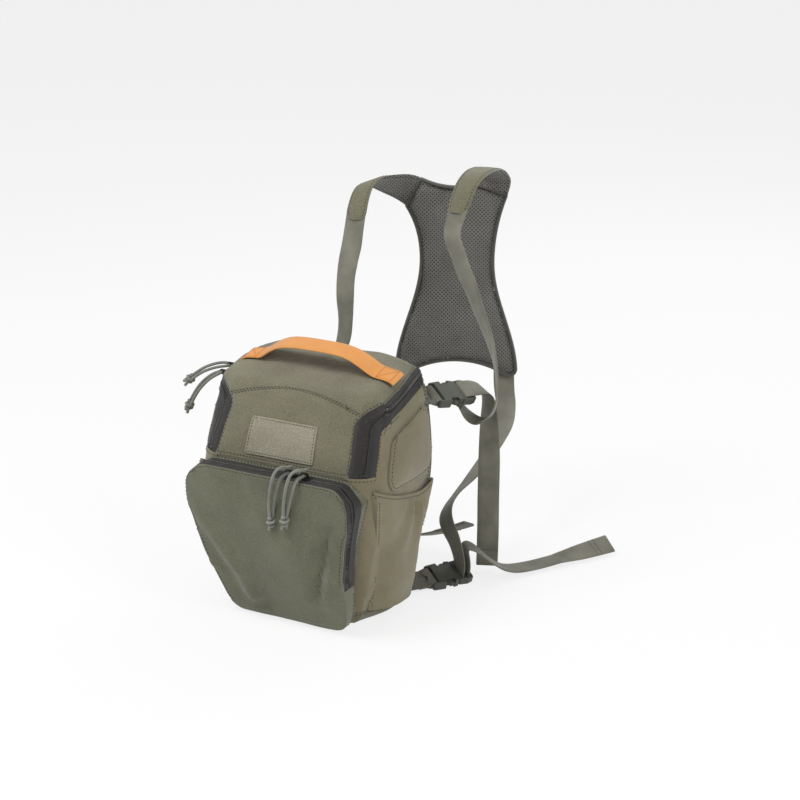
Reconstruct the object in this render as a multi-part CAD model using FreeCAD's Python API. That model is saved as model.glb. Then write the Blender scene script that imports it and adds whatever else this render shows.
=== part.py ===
import FreeCAD, Part
import math
import os

# Binocular harness pack: a padded chest case whose lid opens forward on a zip,
# a zipped front pocket, two stretch side pockets, and a padded back yoke carried
# by four webbing straps with side-release buckles.
# Millimetres.  X to the wearer's-view right, the front of the case faces -Y, Z up.
# Origin: middle of the width on the floor, 60 behind the front wall.

V = FreeCAD.Vector
X_AXIS, Y_AXIS, Z_AXIS = V(1, 0, 0), V(0, 1, 0), V(0, 0, 1)

# ---- case ----
HALF_WIDTH = 110.0          # across the side walls, above the taper
BASE_HALF_WIDTH = 101.0     # at the floor
TAPER_TOP = 150.0           # height where the side taper ends
FRONT_Y = -60.0
BACK_Y = 85.0
LID_SEAM_Z = 176.0          # fold line of the lid on the front wall
BROW_Y = -26.0              # where the leaning lid front meets the crown
BROW_Z = 252.0
BROW_RADIUS = 26.0
CROWN_BACK_Z = 279.0        # crown height at the back wall
CROWN_BACK_RADIUS = 16.0
CROWN_SIDE_RADIUS = 18.0
FRONT_CORNER_RADIUS = 32.0
BACK_CORNER_RADIUS = 12.0
BASE_RADIUS = 12.0
TAPER_RADIUS = 90.0
SKIN = 1.8                  # shell fabric with its lining
FOAM = 6.0
BASE_WRAP = 14.0            # how far the base panel comes up the walls
BEYOND = 400.0              # reach of cutting prisms, outside everything

# ---- main zip ----
ZIP_LEAN_DEPTH = 7.5        # zip line behind the leaning front
ZIP_CROWN_DEPTH = 20.0      # zip line below the crown
ZIP_LINE_RADIUS = 26.0
ZIP_SLIT = 1.4              # running slot between the two coils
TAPE_WIDTH = 13.5
TAPE_LEAN_FRONT = 6.9       # tape width in side view where it turns the front corner
TAPE_LEAN_REAR = 10.6
TAPE_SUNK = 0.3             # tape face below the shell fabric's face
COIL_WIDTH = 2.6
COIL_DEPTH = 2.2
RUNNING_GAP = 0.3           # clearance between pieces that move on each other

# ---- lid ----
ARCH_MID_Z = 250.0          # arched seam across the brow
ARCH_SIDE_Z = 228.0
LID_FOAM_HALF_WIDTH = 84.0
LID_FOAM_FRONT_Y = -8.0
LID_FOAM_BACK_Y = 68.0
PATCH_WIDTH = 72.0
PATCH_HEIGHT = 40.0
PATCH_X = -17.0             # patch centre, to the left of the middle
PATCH_RISE = 24.0           # patch centre above the lid seam, along the slope
PATCH_THICK = 1.4
PATCH_RADIUS = 2.0
HANDLE_WIDTH = 25.0
HANDLE_THICK = 2.2
HANDLE_Y = 23.0
HANDLE_RISE = 32.0
HANDLE_HALF_SPAN = 74.0     # between the two stitched feet
HANDLE_TOP_HALF = 50.0
HANDLE_FOOT_DROP = 12.0     # foot's end below the crown
HANDLE_BEND = 18.0
HANDLE_FOOT_BEND = 8.0

# ---- front pocket ----
POCKET_FRONT_Y = -91.0
POCKET_SEAM_Y = -46.0       # where its sides meet the case
POCKET_FRONT_HALF = 97.0
POCKET_REAR_HALF = 106.0
POCKET_SHELF_REAR_Z = 173.0
POCKET_SHELF_FRONT_Z = 175.0
POCKET_WAIST_Z = 95.0
POCKET_WAIST_HALF = 92.0
POCKET_TOE_HALF = 58.0
POCKET_BASE_Z = 3.0
POCKET_TOE_Y = -72.0
POCKET_TOE_Z = 12.0
POCKET_BELLY_Y = -87.0
POCKET_BELLY_Z = 72.0
POCKET_TOP_RADIUS = 22.0
POCKET_SIDE_RADIUS = 60.0
POCKET_TOE_RADIUS = 28.0
POCKET_EDGE_RADIUS = 5.0
POCKET_HEM = 2.0            # flap fabric folded over its top edge
POCKET_ZIP_BACK = 13.0      # zip line behind the pocket's front face
POCKET_TAPE_WIDTH = 13.0
POCKET_FOLD_Z = 57.0        # the flap folds down here

# ---- side pockets and side pads ----
SIDE_POCKET_OUT = 7.5       # pouch face outside the side wall
SIDE_POCKET_WALL = 1.5
SIDE_POCKET_FRONT_Y = -36.0
SIDE_POCKET_BACK_Y = 71.0
SIDE_POCKET_MOUTH_Z = 150.0
SIDE_POCKET_SAG = 12.0
SIDE_POCKET_RIM = 3.0       # width of the stitched edge
PAD_OUT = 3.0
PAD_LEAN_DEPTH = 33.0
PAD_CROWN_DEPTH = 47.0
PAD_LOW_Z = 154.0
PAD_RADIUS = 14.0
PAD_BACK_Y = 70.0

# ---- sliders and pulls ----
SLIDER_LENGTH = 15.0
SLIDER_HEAD_WIDTH = 12.0
SLIDER_TAIL_WIDTH = 9.0
SLIDER_PLATE = 1.6
SLIDER_CORNER = 1.6
POST_THICK = 0.7
POST_LENGTH = 3.0
FLANGE = 1.2
BAIL_SPAN = 8.0
BAIL_RISE = 5.2
BAIL_THICK = 1.5
BAIL_WIDTH = 2.4
FRONT_SLIDER_Y = 17.0
REAR_SLIDER_Y = 33.0
POCKET_SLIDER_X = (22.0, 41.0)
TAB_LENGTH = 15.0
TAB_WIDTH = 6.4
TAB_THICK = 1.6
TAB_EYE = 3.4
CORD = 2.8                  # cord diameter
PULL_TURN = 6.2             # between the two strands where a pull cord turns back
KNOT_RADIUS = 4.6
KNOT_LENGTH = 9.0
KNOT_ROUND = 2.6
BEND_SHARE = 0.45           # share of the shorter run taken up by a cord's bend

# ---- webbing and buckles ----
WEB_WIDTH = 25.0
WEB_THICK = 1.6
BUCKLE_WIDTH = 33.0
BUCKLE_THICK = 11.0
SOCKET_LENGTH = 33.0        # the female half, from bar end to mouth
SOCKET_BORE_WIDTH = 27.6
SOCKET_BORE_THICK = 7.0
SOCKET_BACK = 9.8           # solid end behind the bore
BUCKLE_CORNER = 4.0
BUCKLE_EDGE = 1.4
WINDOW_START = 16.0
WINDOW_END = 27.0
WINDOW_DEPTH = 5.2
BAR = 3.4                   # thickness of every webbing bar
BAR_SLOT = 4.2
SLOT_WIDTH = WEB_WIDTH + 1.5
SLOT_CORNER = 0.5
CLIP_SHOULDER = 3.2
CLIP_END_BAR = 2.9
CLIP_THICK = 9.0
PRONG_THICK = 5.0
PRONG_ROOT = 8.2
PRONG_WIDTH = 3.0
PRONG_REACH = 16.6
BARB_LENGTH = 9.6
GUIDE_WIDTH = 3.2
GUIDE_REACH = 20.0
UPPER_BUCKLE_AT = V(104.0, 88.5, 229)
UPPER_BUCKLE_ALONG = V(0.42, 0.90, -0.10)
UPPER_BUCKLE_FACE = V(0.455, -0.12, 0.89)
LOWER_BUCKLE_AT = V(100.0, 87.4, 11.0)
LOWER_BUCKLE_ALONG = V(0.55, 0.83, 0)
LOWER_BUCKLE_FACE = V(0.20, -0.35, 0.90)
ANCHOR_LENGTH = 13.0        # loop from the wall to the buckle's bar

# ---- yoke ----
YOKE_AT = V(25.5, 296.5, 333)
YOKE_YAW = 25.0
YOKE_WAIST_HALF = 44.5
YOKE_WAIST_LOW_W = -20.0    # the waist keeps its width down to here
YOKE_HIP_HALF = 64.0        # half width where the sides spread to the feet
YOKE_HIP_W = -93.0
YOKE_FOOT_HALF = 73.5
YOKE_FOOT_W = -158.0
YOKE_FOOT_ARCH = 27.0
YOKE_NECK_DIP = 7.0
YOKE_CORNER = 9.0
YOKE_MESH = 1.5
YOKE_FOAM = 4.0
YOKE_COVER = 1.2
YOKE_MID = 3.35             # middle of the padding, where arms and straps are sewn in
YOKE_FOOT_U = 58.0
ARM_U = {"right": 41.2, "left": 53.1}      # middle of the edge that an arm is sewn into
ARM_W = {"right": 80.5, "left": 76.8}
ARM_LEAN = {"right": 20.0, "left": 62.0}   # the soft shoulders stand up or fall outward
ARM_ROOT_WIDTH = 38.0
ARM_WIDTH = 27.0
ARM_THICK = 4.4
ARM_LEAD = 11.0             # straight stretch beside the yoke

# ---------------------------------------------------------------- geometry tools

COINCIDENT = 1e-4


def corner_arc(before, corner, after, radius):
    """Start, middle and end of the arc that rounds a corner."""
    back = (before - corner).normalize()
    on = (after - corner).normalize()
    half = back.getAngle(on) / 2
    setback = radius / math.tan(half)
    middle = corner + (back + on).normalize() * (radius / math.sin(half) - radius)
    return corner + back * setback, middle, corner + on * setback


def rounded_edges(points, radii, closed=True):
    """Straight edges through the points, with each corner rounded by its radius."""
    count = len(points)
    stops = []
    for i, (corner, radius) in enumerate(zip(points, radii)):
        turns = closed or 0 < i < count - 1
        if turns and radius > 0:
            stops.append(corner_arc(points[i - 1], corner, points[(i + 1) % count], radius))
        else:
            stops.append((corner, None, corner))
    edges = []
    for i, (start, middle, end) in enumerate(stops):
        if middle is not None:
            edges.append(Part.Arc(start, middle, end).toShape())
        if closed or i < count - 1:
            following = stops[(i + 1) % count][0]
            if end.distanceToPoint(following) > COINCIDENT:
                edges.append(Part.makeLine(end, following))
    return edges


def flat(points):
    """The same points with a zero third coordinate."""
    return [V(a, b, 0) for a, b in points]


def inset(points, radii, depth):
    """An anticlockwise outline moved inward by depth (outward when negative)."""
    count = len(points)
    moved = []
    rounded = []
    for i, corner in enumerate(points):
        coming = (corner - points[i - 1]).normalize()
        going = (points[(i + 1) % count] - corner).normalize()
        inward = Z_AXIS.cross(coming)
        inward_next = Z_AXIS.cross(going)
        moved.append(corner + (inward + inward_next) * (depth / (1 + inward.dot(inward_next))))
        convex = coming.cross(going).z > 0
        rounded.append(max(radii[i] - depth if convex else radii[i] + depth, 0) if radii[i] else 0)
    return moved, rounded


def prism(outline, depth, place, sweep):
    """The inset outline, put in space by place(a, b) and swept."""
    points, radii = inset(flat(outline[0]), outline[1], depth)
    edges = rounded_edges([place(p.x, p.y) for p in points], radii)
    return Part.Face(Part.Wire(edges)).extrude(sweep)


def along_x(points, radii):
    """A side view outline of (y, z) points, swept across the whole width."""
    edges = rounded_edges([V(-BEYOND, a, b) for a, b in points], radii)
    return Part.Face(Part.Wire(edges)).extrude(X_AXIS * 2 * BEYOND)


def along_y(points, radii):
    """A front view outline of (x, z) points, swept through the whole depth."""
    edges = rounded_edges([V(a, -BEYOND, b) for a, b in points], radii)
    return Part.Face(Part.Wire(edges)).extrude(Y_AXIS * 2 * BEYOND)


def block(x=(-BEYOND, BEYOND), y=(-BEYOND, BEYOND), z=(-BEYOND, BEYOND)):
    """A box between pairs of limits."""
    return Part.makeBox(x[1] - x[0], y[1] - y[0], z[1] - z[0], V(x[0], y[0], z[0]))


def thick_line(points, radii, thick):
    """Closed outline of a band of one thickness along an open (a, b) line."""
    line = flat(points)
    last = len(line) - 1
    sides = {}
    for sign in (1, -1):
        shifted = []
        rounded = []
        for i, p in enumerate(line):
            coming = (p - line[i - 1]).normalize() if i else (line[1] - p).normalize()
            going = (line[i + 1] - p).normalize() if i < last else coming
            left = Z_AXIS.cross(coming)
            left_next = Z_AXIS.cross(going)
            reach = sign * thick / 2 / (1 + left.dot(left_next))
            shifted.append(p + (left + left_next) * reach)
            turn = coming.cross(going).z
            inner = turn * sign > 0
            rounded.append(radii[i] + (-thick / 2 if inner else thick / 2) if radii[i] else 0)
        sides[sign] = (shifted, rounded)
    points = sides[-1][0] + sides[1][0][::-1]
    radii = sides[-1][1] + sides[1][1][::-1]
    return [(p.x, p.y) for p in points], radii


def mirrored(shape):
    """The left-hand twin of a right-hand piece."""
    return shape.mirror(V(0, 0, 0), X_AXIS)


def frame_at(origin, along, face):
    """Placement with local X along and local Z as near as it can be to face."""
    x = V(along).normalize()
    y = V(face).cross(x).normalize()
    return FreeCAD.Placement(origin, FreeCAD.Rotation(x, y, x.cross(y), "XYZ"))


def placed(shape, placement):
    """A copy of the shape moved from the local frame."""
    moved = shape.copy()
    moved.Placement = placement.multiply(moved.Placement)
    return moved


def rounded_plate(points, radii, low, high):
    """A flat plate between two heights from an outline of (x, y) points."""
    edges = rounded_edges([V(a, b, low) for a, b in points], radii)
    return Part.Face(Part.Wire(edges)).extrude(Z_AXIS * (high - low))


def rectangle(length, width, radius, x=0.0):
    """Corner points and radii of a rectangle that starts at x and is centred on the x axis."""
    half = width / 2
    points = [(x, -half), (x + length, -half), (x + length, half), (x, half)]
    return points, [radius] * 4


# ---------------------------------------------------------------- case outlines

HINGE = V(0, FRONT_Y, LID_SEAM_Z)
BROW = V(0, BROW_Y, BROW_Z)
LEAN = (BROW - HINGE).normalize()
CROWN = (V(0, BACK_Y, CROWN_BACK_Z) - BROW).normalize()
LEAN_OUT = X_AXIS.cross(LEAN)
CROWN_OUT = X_AXIS.cross(CROWN)

SIDE_VIEW = (
    [(FRONT_Y, 0), (BACK_Y, 0), (BACK_Y, CROWN_BACK_Z), (BROW_Y, BROW_Z), (FRONT_Y, LID_SEAM_Z)],
    [BASE_RADIUS, BASE_RADIUS, CROWN_BACK_RADIUS, BROW_RADIUS, 0],
)
FRONT_VIEW = (
    [(-BASE_HALF_WIDTH, 0), (BASE_HALF_WIDTH, 0), (HALF_WIDTH, TAPER_TOP), (HALF_WIDTH, BEYOND),
     (-HALF_WIDTH, BEYOND), (-HALF_WIDTH, TAPER_TOP)],
    [BASE_RADIUS, BASE_RADIUS, TAPER_RADIUS, 0, 0, TAPER_RADIUS],
)
PLAN_VIEW = (
    [(-HALF_WIDTH, FRONT_Y), (HALF_WIDTH, FRONT_Y), (HALF_WIDTH, BACK_Y), (-HALF_WIDTH, BACK_Y)],
    [FRONT_CORNER_RADIUS, FRONT_CORNER_RADIUS, BACK_CORNER_RADIUS, BACK_CORNER_RADIUS],
)


def slope_view(radius):
    """Section across a sloping face: full width, rounded where it meets the sides."""
    points = [(-HALF_WIDTH, -BEYOND), (HALF_WIDTH, -BEYOND), (HALF_WIDTH, 0), (-HALF_WIDTH, 0)]
    return points, [0, 0, radius, radius]


def case_body(depth):
    """The whole case as one solid, every face moved inward by depth."""
    body = prism(PLAN_VIEW, depth, lambda a, b: V(a, b, -BEYOND), Z_AXIS * 2 * BEYOND)
    for start, slope, out, radius in (
        (HINGE, LEAN, LEAN_OUT, FRONT_CORNER_RADIUS),
        (BROW, CROWN, CROWN_OUT, CROWN_SIDE_RADIUS),
    ):
        foot = start - slope * BEYOND
        section = slope_view(radius)
        body = body.common(
            prism(section, depth, lambda a, b: foot + X_AXIS * a + out * b, slope * 2 * BEYOND)
        )
    body = body.common(prism(FRONT_VIEW, depth, lambda a, b: V(a, BEYOND, b), Y_AXIS * -2 * BEYOND))
    return body.common(prism(SIDE_VIEW, depth, lambda a, b: V(-BEYOND, a, b), X_AXIS * 2 * BEYOND))


# ---------------------------------------------------------------- zip line in side view

def brow_point(lean_depth, crown_depth):
    """The point at the given depths behind the leaning front and below the crown."""
    both = LEAN_OUT.dot(CROWN_OUT)
    share = 1 - both * both
    by_lean = (crown_depth * both - lean_depth) / share
    by_crown = (lean_depth * both - crown_depth) / share
    return BROW + LEAN_OUT * by_lean + CROWN_OUT * by_crown


def zip_line(lean_depth, crown_depth, foot_z):
    """Side view line up the leaning front and back along the crown, with its bend radius."""
    corner = brow_point(lean_depth, crown_depth)
    foot = corner - LEAN * ((corner.z - foot_z) / LEAN.z)
    end = corner + CROWN * BEYOND
    bend = max(ZIP_LINE_RADIUS + ZIP_CROWN_DEPTH - crown_depth, ZIP_SLIT)
    return [(foot.y, foot_z), (corner.y, corner.z), (end.y, end.z)], [0, bend, 0]


def zip_band(outer, inner, foot_z):
    """Everything between two zip lines, each given as (lean depth, crown depth)."""
    points, radii = zip_line(*outer, foot_z)
    inner_points, inner_radii = zip_line(*inner, foot_z)
    return along_x(points + inner_points[::-1], radii + inner_radii[::-1])


def above_line(depths, foot_z):
    """Everything on the lid's side of a zip line."""
    points, radii = zip_line(*depths, foot_z)
    end_y = points[-1][0]
    far = [(end_y, 2 * BEYOND), (-BEYOND, 2 * BEYOND), (-BEYOND, foot_z)]
    return along_x(points + far, radii + [0] * len(far))


def below_line(depths, foot_z):
    """Everything on the case's side of a zip line."""
    points, radii = zip_line(*depths, foot_z)
    end_y = points[-1][0]
    far = [(end_y, -BEYOND), (-BEYOND, -BEYOND), (-BEYOND, foot_z)]
    return along_x(points + far, radii + [0] * len(far))


ZIP = (ZIP_LEAN_DEPTH, ZIP_CROWN_DEPTH)
LID_EDGE = (ZIP_LEAN_DEPTH - TAPE_LEAN_FRONT, ZIP_CROWN_DEPTH - TAPE_WIDTH)
CASE_EDGE = (ZIP_LEAN_DEPTH + TAPE_LEAN_REAR, ZIP_CROWN_DEPTH + TAPE_WIDTH)
LID_FOOT_Z = LID_SEAM_Z + RUNNING_GAP


def beside_zip(offset):
    """Depths of a line that runs beside the zip line."""
    return ZIP_LEAN_DEPTH + offset, ZIP_CROWN_DEPTH + offset


def main_tapes(outer, inner, coil_bottom):
    """The lid's and the case's halves of the main zip, each a tape with its coil."""
    tape = outer.cut(inner)
    coil = inner.cut(coil_bottom)
    slit = ZIP_SLIT / 2
    reach = slit + COIL_WIDTH
    lid = tape.common(zip_band(LID_EDGE, beside_zip(-slit), LID_FOOT_Z))
    lid = lid.fuse(coil.common(zip_band(beside_zip(-reach), beside_zip(-slit), LID_FOOT_Z)))
    case = tape.common(zip_band(beside_zip(slit), CASE_EDGE, LID_SEAM_Z))
    case = case.fuse(coil.common(zip_band(beside_zip(slit), beside_zip(reach), LID_SEAM_Z)))
    return lid.removeSplitter(), case.removeSplitter()


# ---------------------------------------------------------------- case and lid pieces

def shell_panels(shell):
    """The case's fabric panels, cut apart at their seams."""
    case = shell.common(below_line(CASE_EDGE, LID_SEAM_Z))
    above_base = block(z=(BASE_WRAP, BEYOND))
    walls = case.common(above_base)
    back_seam_y = BACK_Y - BACK_CORNER_RADIUS
    front_half = HALF_WIDTH - FRONT_CORNER_RADIUS
    front_region = block(x=(-front_half, front_half), y=(-BEYOND, FRONT_Y + FRONT_CORNER_RADIUS))
    sides = walls.common(block(y=(-BEYOND, back_seam_y))).cut(front_region)
    right = sides.common(block(x=(0, BEYOND)))
    return {
        "base_panel": case.common(block(z=(-BEYOND, BASE_WRAP))),
        "back_panel": walls.common(block(y=(back_seam_y, BEYOND))),
        "front_wall": walls.common(front_region),
        "right_side_panel": right,
        "left_side_panel": mirrored(right),
    }


def foam_panels(layer):
    """Foam between the shell and the lining: back, sides, base and lid."""
    inner_half = HALF_WIDTH - FRONT_CORNER_RADIUS
    floor_top = SKIN + FOAM + RUNNING_GAP
    back_y = BACK_Y - BACK_CORNER_RADIUS
    zip_low = (CASE_EDGE[0] + SKIN, CASE_EDGE[1] + SKIN)
    case = layer.common(below_line(zip_low, LID_SEAM_Z))
    side = case.common(
        block(x=(inner_half, BEYOND), y=(FRONT_Y + FRONT_CORNER_RADIUS, back_y - FOAM),
              z=(floor_top, BEYOND))
    )
    back = case.common(block(x=(-inner_half, inner_half), y=(back_y - FOAM, BEYOND), z=(floor_top, BEYOND)))
    base = case.common(
        block(x=(-inner_half, inner_half), y=(FRONT_Y + FOAM, back_y), z=(-BEYOND, SKIN + FOAM))
    )
    lid = layer.common(
        block(x=(-LID_FOAM_HALF_WIDTH, LID_FOAM_HALF_WIDTH), y=(LID_FOAM_FRONT_Y, LID_FOAM_BACK_Y),
              z=(LID_SEAM_Z, BEYOND))
    )
    return {
        "side_foams": side.fuse(mirrored(side)),
        "back_foam": back,
        "base_foam": base,
        "lid_foam": lid,
    }


def lid_panels(shell):
    """The lid's front and top fabric, parted by the arched seam."""
    lid = shell.common(above_line(LID_EDGE, LID_FOOT_Z))
    left = V(-HALF_WIDTH, -BEYOND, ARCH_SIDE_Z)
    right = V(HALF_WIDTH, -BEYOND, ARCH_SIDE_Z)
    arch = Part.Arc(left, V(0, -BEYOND, ARCH_MID_Z), right).toShape()
    low_right = V(HALF_WIDTH, -BEYOND, 0)
    low_left = V(-HALF_WIDTH, -BEYOND, 0)
    sides = [Part.makeLine(right, low_right), Part.makeLine(low_right, low_left), Part.makeLine(low_left, left)]
    below_arch = Part.Face(Part.Wire([arch] + sides)).extrude(Y_AXIS * (BEYOND + LID_FOAM_FRONT_Y))
    return {"lid_front_panel": lid.common(below_arch), "lid_top_panel": lid.cut(below_arch)}


def label_patch():
    """Bare stitched patch on the lid's leaning front."""
    middle = HINGE + LEAN * PATCH_RISE + X_AXIS * PATCH_X
    points, radii = rectangle(PATCH_WIDTH, PATCH_HEIGHT, PATCH_RADIUS, -PATCH_WIDTH / 2)
    plate = rounded_plate(points, radii, 0, PATCH_THICK)
    return placed(plate, frame_at(middle, X_AXIS, LEAN_OUT))


def handle(outer):
    """Webbing grab handle: an arch between two feet sewn round the lid's side edges."""
    middle = BROW + CROWN * ((HANDLE_Y - BROW_Y) / CROWN.y)
    start = middle - CROWN * (HANDLE_WIDTH / 2)
    mid = HANDLE_THICK / 2
    foot_end = HALF_WIDTH - CROWN_SIDE_RADIUS
    line = [(-foot_end, mid), (-HANDLE_HALF_SPAN, mid), (-HANDLE_TOP_HALF, HANDLE_RISE),
            (HANDLE_TOP_HALF, HANDLE_RISE), (HANDLE_HALF_SPAN, mid), (foot_end, mid)]
    bends = [0, HANDLE_FOOT_BEND, HANDLE_BEND, HANDLE_BEND, HANDLE_FOOT_BEND, 0]
    points, radii = thick_line(line, bends, HANDLE_THICK)
    edges = rounded_edges([start + X_AXIS * a + CROWN_OUT * b for a, b in points], radii)
    arch = Part.Face(Part.Wire(edges)).extrude(CROWN * HANDLE_WIDTH)
    slab_points, slab_radii = rectangle(2 * BEYOND, 2 * BEYOND, 0, -BEYOND)
    slab = rounded_plate(slab_points, slab_radii, 0, HANDLE_WIDTH)
    slab = placed(slab, frame_at(start, X_AXIS, CROWN))
    feet = case_body(-HANDLE_THICK).cut(outer).common(slab)
    feet = feet.common(above_line((-BEYOND / 2, HANDLE_FOOT_DROP), LID_SEAM_Z))
    feet = feet.cut(block(x=(-foot_end, foot_end)))
    return arch.fuse(feet).removeSplitter()


# ---------------------------------------------------------------- side pads and pockets

def side_pad(outer):
    """Raised pad on the right side wall, above the stretch pocket."""
    low = PAD_LOW_Z
    points, radii = zip_line(PAD_LEAN_DEPTH, PAD_CROWN_DEPTH, low)
    points = [points[0], points[1]]
    crown_line = brow_point(PAD_LEAN_DEPTH, PAD_CROWN_DEPTH)
    back = crown_line + CROWN * ((PAD_BACK_Y - crown_line.y) / CROWN.y)
    points += [(back.y, back.z), (PAD_BACK_Y, low)]
    region = along_x(points, [PAD_RADIUS] * 4)
    pad = case_body(-PAD_OUT).cut(outer).common(region)
    return pad.common(block(x=(0, BEYOND)))


def pouch_outline(edge):
    """Side view of the stretch pocket, drawn in by edge on its three closed sides."""
    front = SIDE_POCKET_FRONT_Y + edge
    back = SIDE_POCKET_BACK_Y - edge
    foot = BASE_WRAP + edge
    middle = (front + back) / 2
    mouth = Part.Arc(
        V(0, front, SIDE_POCKET_MOUTH_Z),
        V(0, middle, SIDE_POCKET_MOUTH_Z - SIDE_POCKET_SAG),
        V(0, back, SIDE_POCKET_MOUTH_Z),
    ).toShape()
    corners = [V(0, back, SIDE_POCKET_MOUTH_Z), V(0, back, foot), V(0, front, foot),
               V(0, front, SIDE_POCKET_MOUTH_Z)]
    sides = [Part.makeLine(a, b) for a, b in zip(corners, corners[1:])]
    return Part.Face(Part.Wire([mouth] + sides)).extrude(X_AXIS * BEYOND)


def side_pocket(outer):
    """Stretch pocket on the right side wall, open at its sagging mouth."""
    full = pouch_outline(0)
    hollow = pouch_outline(SIDE_POCKET_RIM)
    above = hollow.copy()
    above.translate(Z_AXIS * (SIDE_POCKET_RIM + SIDE_POCKET_SAG))
    pouch = case_body(-SIDE_POCKET_OUT).cut(outer).common(full)
    room = case_body(SIDE_POCKET_WALL - SIDE_POCKET_OUT).common(hollow.fuse(above))
    return pouch.cut(room)


# ---------------------------------------------------------------- front pocket

SHELF = V(0, POCKET_FRONT_Y - FRONT_Y, POCKET_SHELF_FRONT_Z - POCKET_SHELF_REAR_Z).normalize()
SHELF_OUT = SHELF.cross(X_AXIS)


def shelf_z(y):
    """Height of the pocket's top face at a depth."""
    return POCKET_SHELF_REAR_Z + SHELF.z / SHELF.y * (y - FRONT_Y)


POCKET_PROFILE = [(POCKET_FRONT_Y, POCKET_SHELF_FRONT_Z), (POCKET_BELLY_Y, POCKET_BELLY_Z),
                  (POCKET_TOE_Y, POCKET_TOE_Z)]
POCKET_SIDE_VIEW = (
    [(BROW_Y, POCKET_BASE_Z), (BROW_Y, shelf_z(BROW_Y))] + POCKET_PROFILE
    + [(POCKET_TOE_Y + POCKET_EDGE_RADIUS, POCKET_BASE_Z)],
    [0, 0, POCKET_EDGE_RADIUS, POCKET_SIDE_RADIUS, POCKET_EDGE_RADIUS, POCKET_EDGE_RADIUS],
)
POCKET_FRONT_VIEW = (
    [(-POCKET_TOE_HALF, POCKET_BASE_Z), (POCKET_TOE_HALF, POCKET_BASE_Z),
     (POCKET_WAIST_HALF, POCKET_WAIST_Z), (POCKET_REAR_HALF, POCKET_SHELF_FRONT_Z),
     (-POCKET_REAR_HALF, POCKET_SHELF_FRONT_Z), (-POCKET_WAIST_HALF, POCKET_WAIST_Z)],
    [POCKET_TOE_RADIUS, POCKET_TOE_RADIUS, POCKET_SIDE_RADIUS, POCKET_TOP_RADIUS,
     POCKET_TOP_RADIUS, POCKET_SIDE_RADIUS],
)
POCKET_PLAN_VIEW = (
    [(-POCKET_FRONT_HALF, POCKET_FRONT_Y), (POCKET_FRONT_HALF, POCKET_FRONT_Y),
     (POCKET_REAR_HALF, POCKET_SEAM_Y), (POCKET_REAR_HALF, BROW_Y),
     (-POCKET_REAR_HALF, BROW_Y), (-POCKET_REAR_HALF, POCKET_SEAM_Y)],
    [POCKET_EDGE_RADIUS, POCKET_EDGE_RADIUS, 0, 0, 0, 0],
)


def pocket_body(depth, outer):
    """The front pocket as one solid against the case's front, inset by depth."""
    body = prism(POCKET_SIDE_VIEW, depth, lambda a, b: V(-BEYOND, a, b), X_AXIS * 2 * BEYOND)
    body = body.common(prism(POCKET_FRONT_VIEW, depth, lambda a, b: V(a, BEYOND, b), Y_AXIS * -2 * BEYOND))
    body = body.common(prism(POCKET_PLAN_VIEW, depth, lambda a, b: V(a, b, -BEYOND), Z_AXIS * 2 * BEYOND))
    body = body.common(block(y=(-BEYOND, POCKET_SEAM_Y)))
    return body.cut(outer)


def pocket_front_at(z):
    """How far out the pocket's front face is at one height."""
    above = z > POCKET_BELLY_Z
    y_from, z_from = (POCKET_BELLY_Y, POCKET_BELLY_Z) if above else (POCKET_TOE_Y, POCKET_TOE_Z)
    y_to, z_to = (POCKET_FRONT_Y, POCKET_SHELF_FRONT_Z) if above else (POCKET_BELLY_Y, POCKET_BELLY_Z)
    return y_from + (y_to - y_from) * (z - z_from) / (z_to - z_from)


def within_front(start, end, low):
    """Everything above low that lies between two distances behind the pocket's front face."""
    face = [(POCKET_FRONT_Y, BEYOND), (POCKET_FRONT_Y, POCKET_SHELF_FRONT_Z),
            (POCKET_BELLY_Y, POCKET_BELLY_Z), (pocket_front_at(low), low)]
    near = [(y + start, z) for y, z in face]
    far = [(y + end, z) for y, z in face]
    return along_x(near + far[::-1], [0] * (len(near) + len(far)))


def front_pocket(outer):
    """The pocket's sewn-on part, its drop-down flap and the two halves of its zip."""
    full = pocket_body(0, outer)
    inner = pocket_body(SKIN, outer)
    skin = full.cut(inner)
    tape = pocket_body(TAPE_SUNK, outer).cut(inner)
    coil = inner.cut(pocket_body(SKIN + COIL_DEPTH, outer))
    slit = ZIP_SLIT / 2
    fold = POCKET_FOLD_Z
    lift = POCKET_FOLD_Z + RUNNING_GAP
    zip_at = POCKET_ZIP_BACK
    reach = slit + COIL_WIDTH
    rear = zip_at + POCKET_TAPE_WIDTH
    lower = skin.common(block(z=(-BEYOND, fold)))
    rim = skin.common(within_front(rear, BEYOND, fold))
    case_tape = tape.common(within_front(zip_at + slit, rear, fold))
    case_coil = coil.common(within_front(zip_at + slit, zip_at + reach, fold))
    flap_tape = tape.common(within_front(POCKET_HEM, zip_at - slit, lift))
    flap_coil = coil.common(within_front(zip_at - reach, zip_at - slit, lift))
    return {
        "pocket_lower": lower.fuse(rim).removeSplitter(),
        "pocket_zip_case_tape": case_tape.fuse(case_coil).removeSplitter(),
        "pocket_flap": skin.common(within_front(-BEYOND / 2, POCKET_HEM, lift)),
        "pocket_zip_flap_tape": flap_tape.fuse(flap_coil).removeSplitter(),
    }


# ---------------------------------------------------------------- sliders and pulls

BAIL_ROOM = BAIL_RISE - BAIL_THICK          # height of the tunnel under the bridge
TUNNEL_Z = SLIDER_PLATE + BAIL_ROOM / 2     # middle of the tunnel above the fabric


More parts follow.
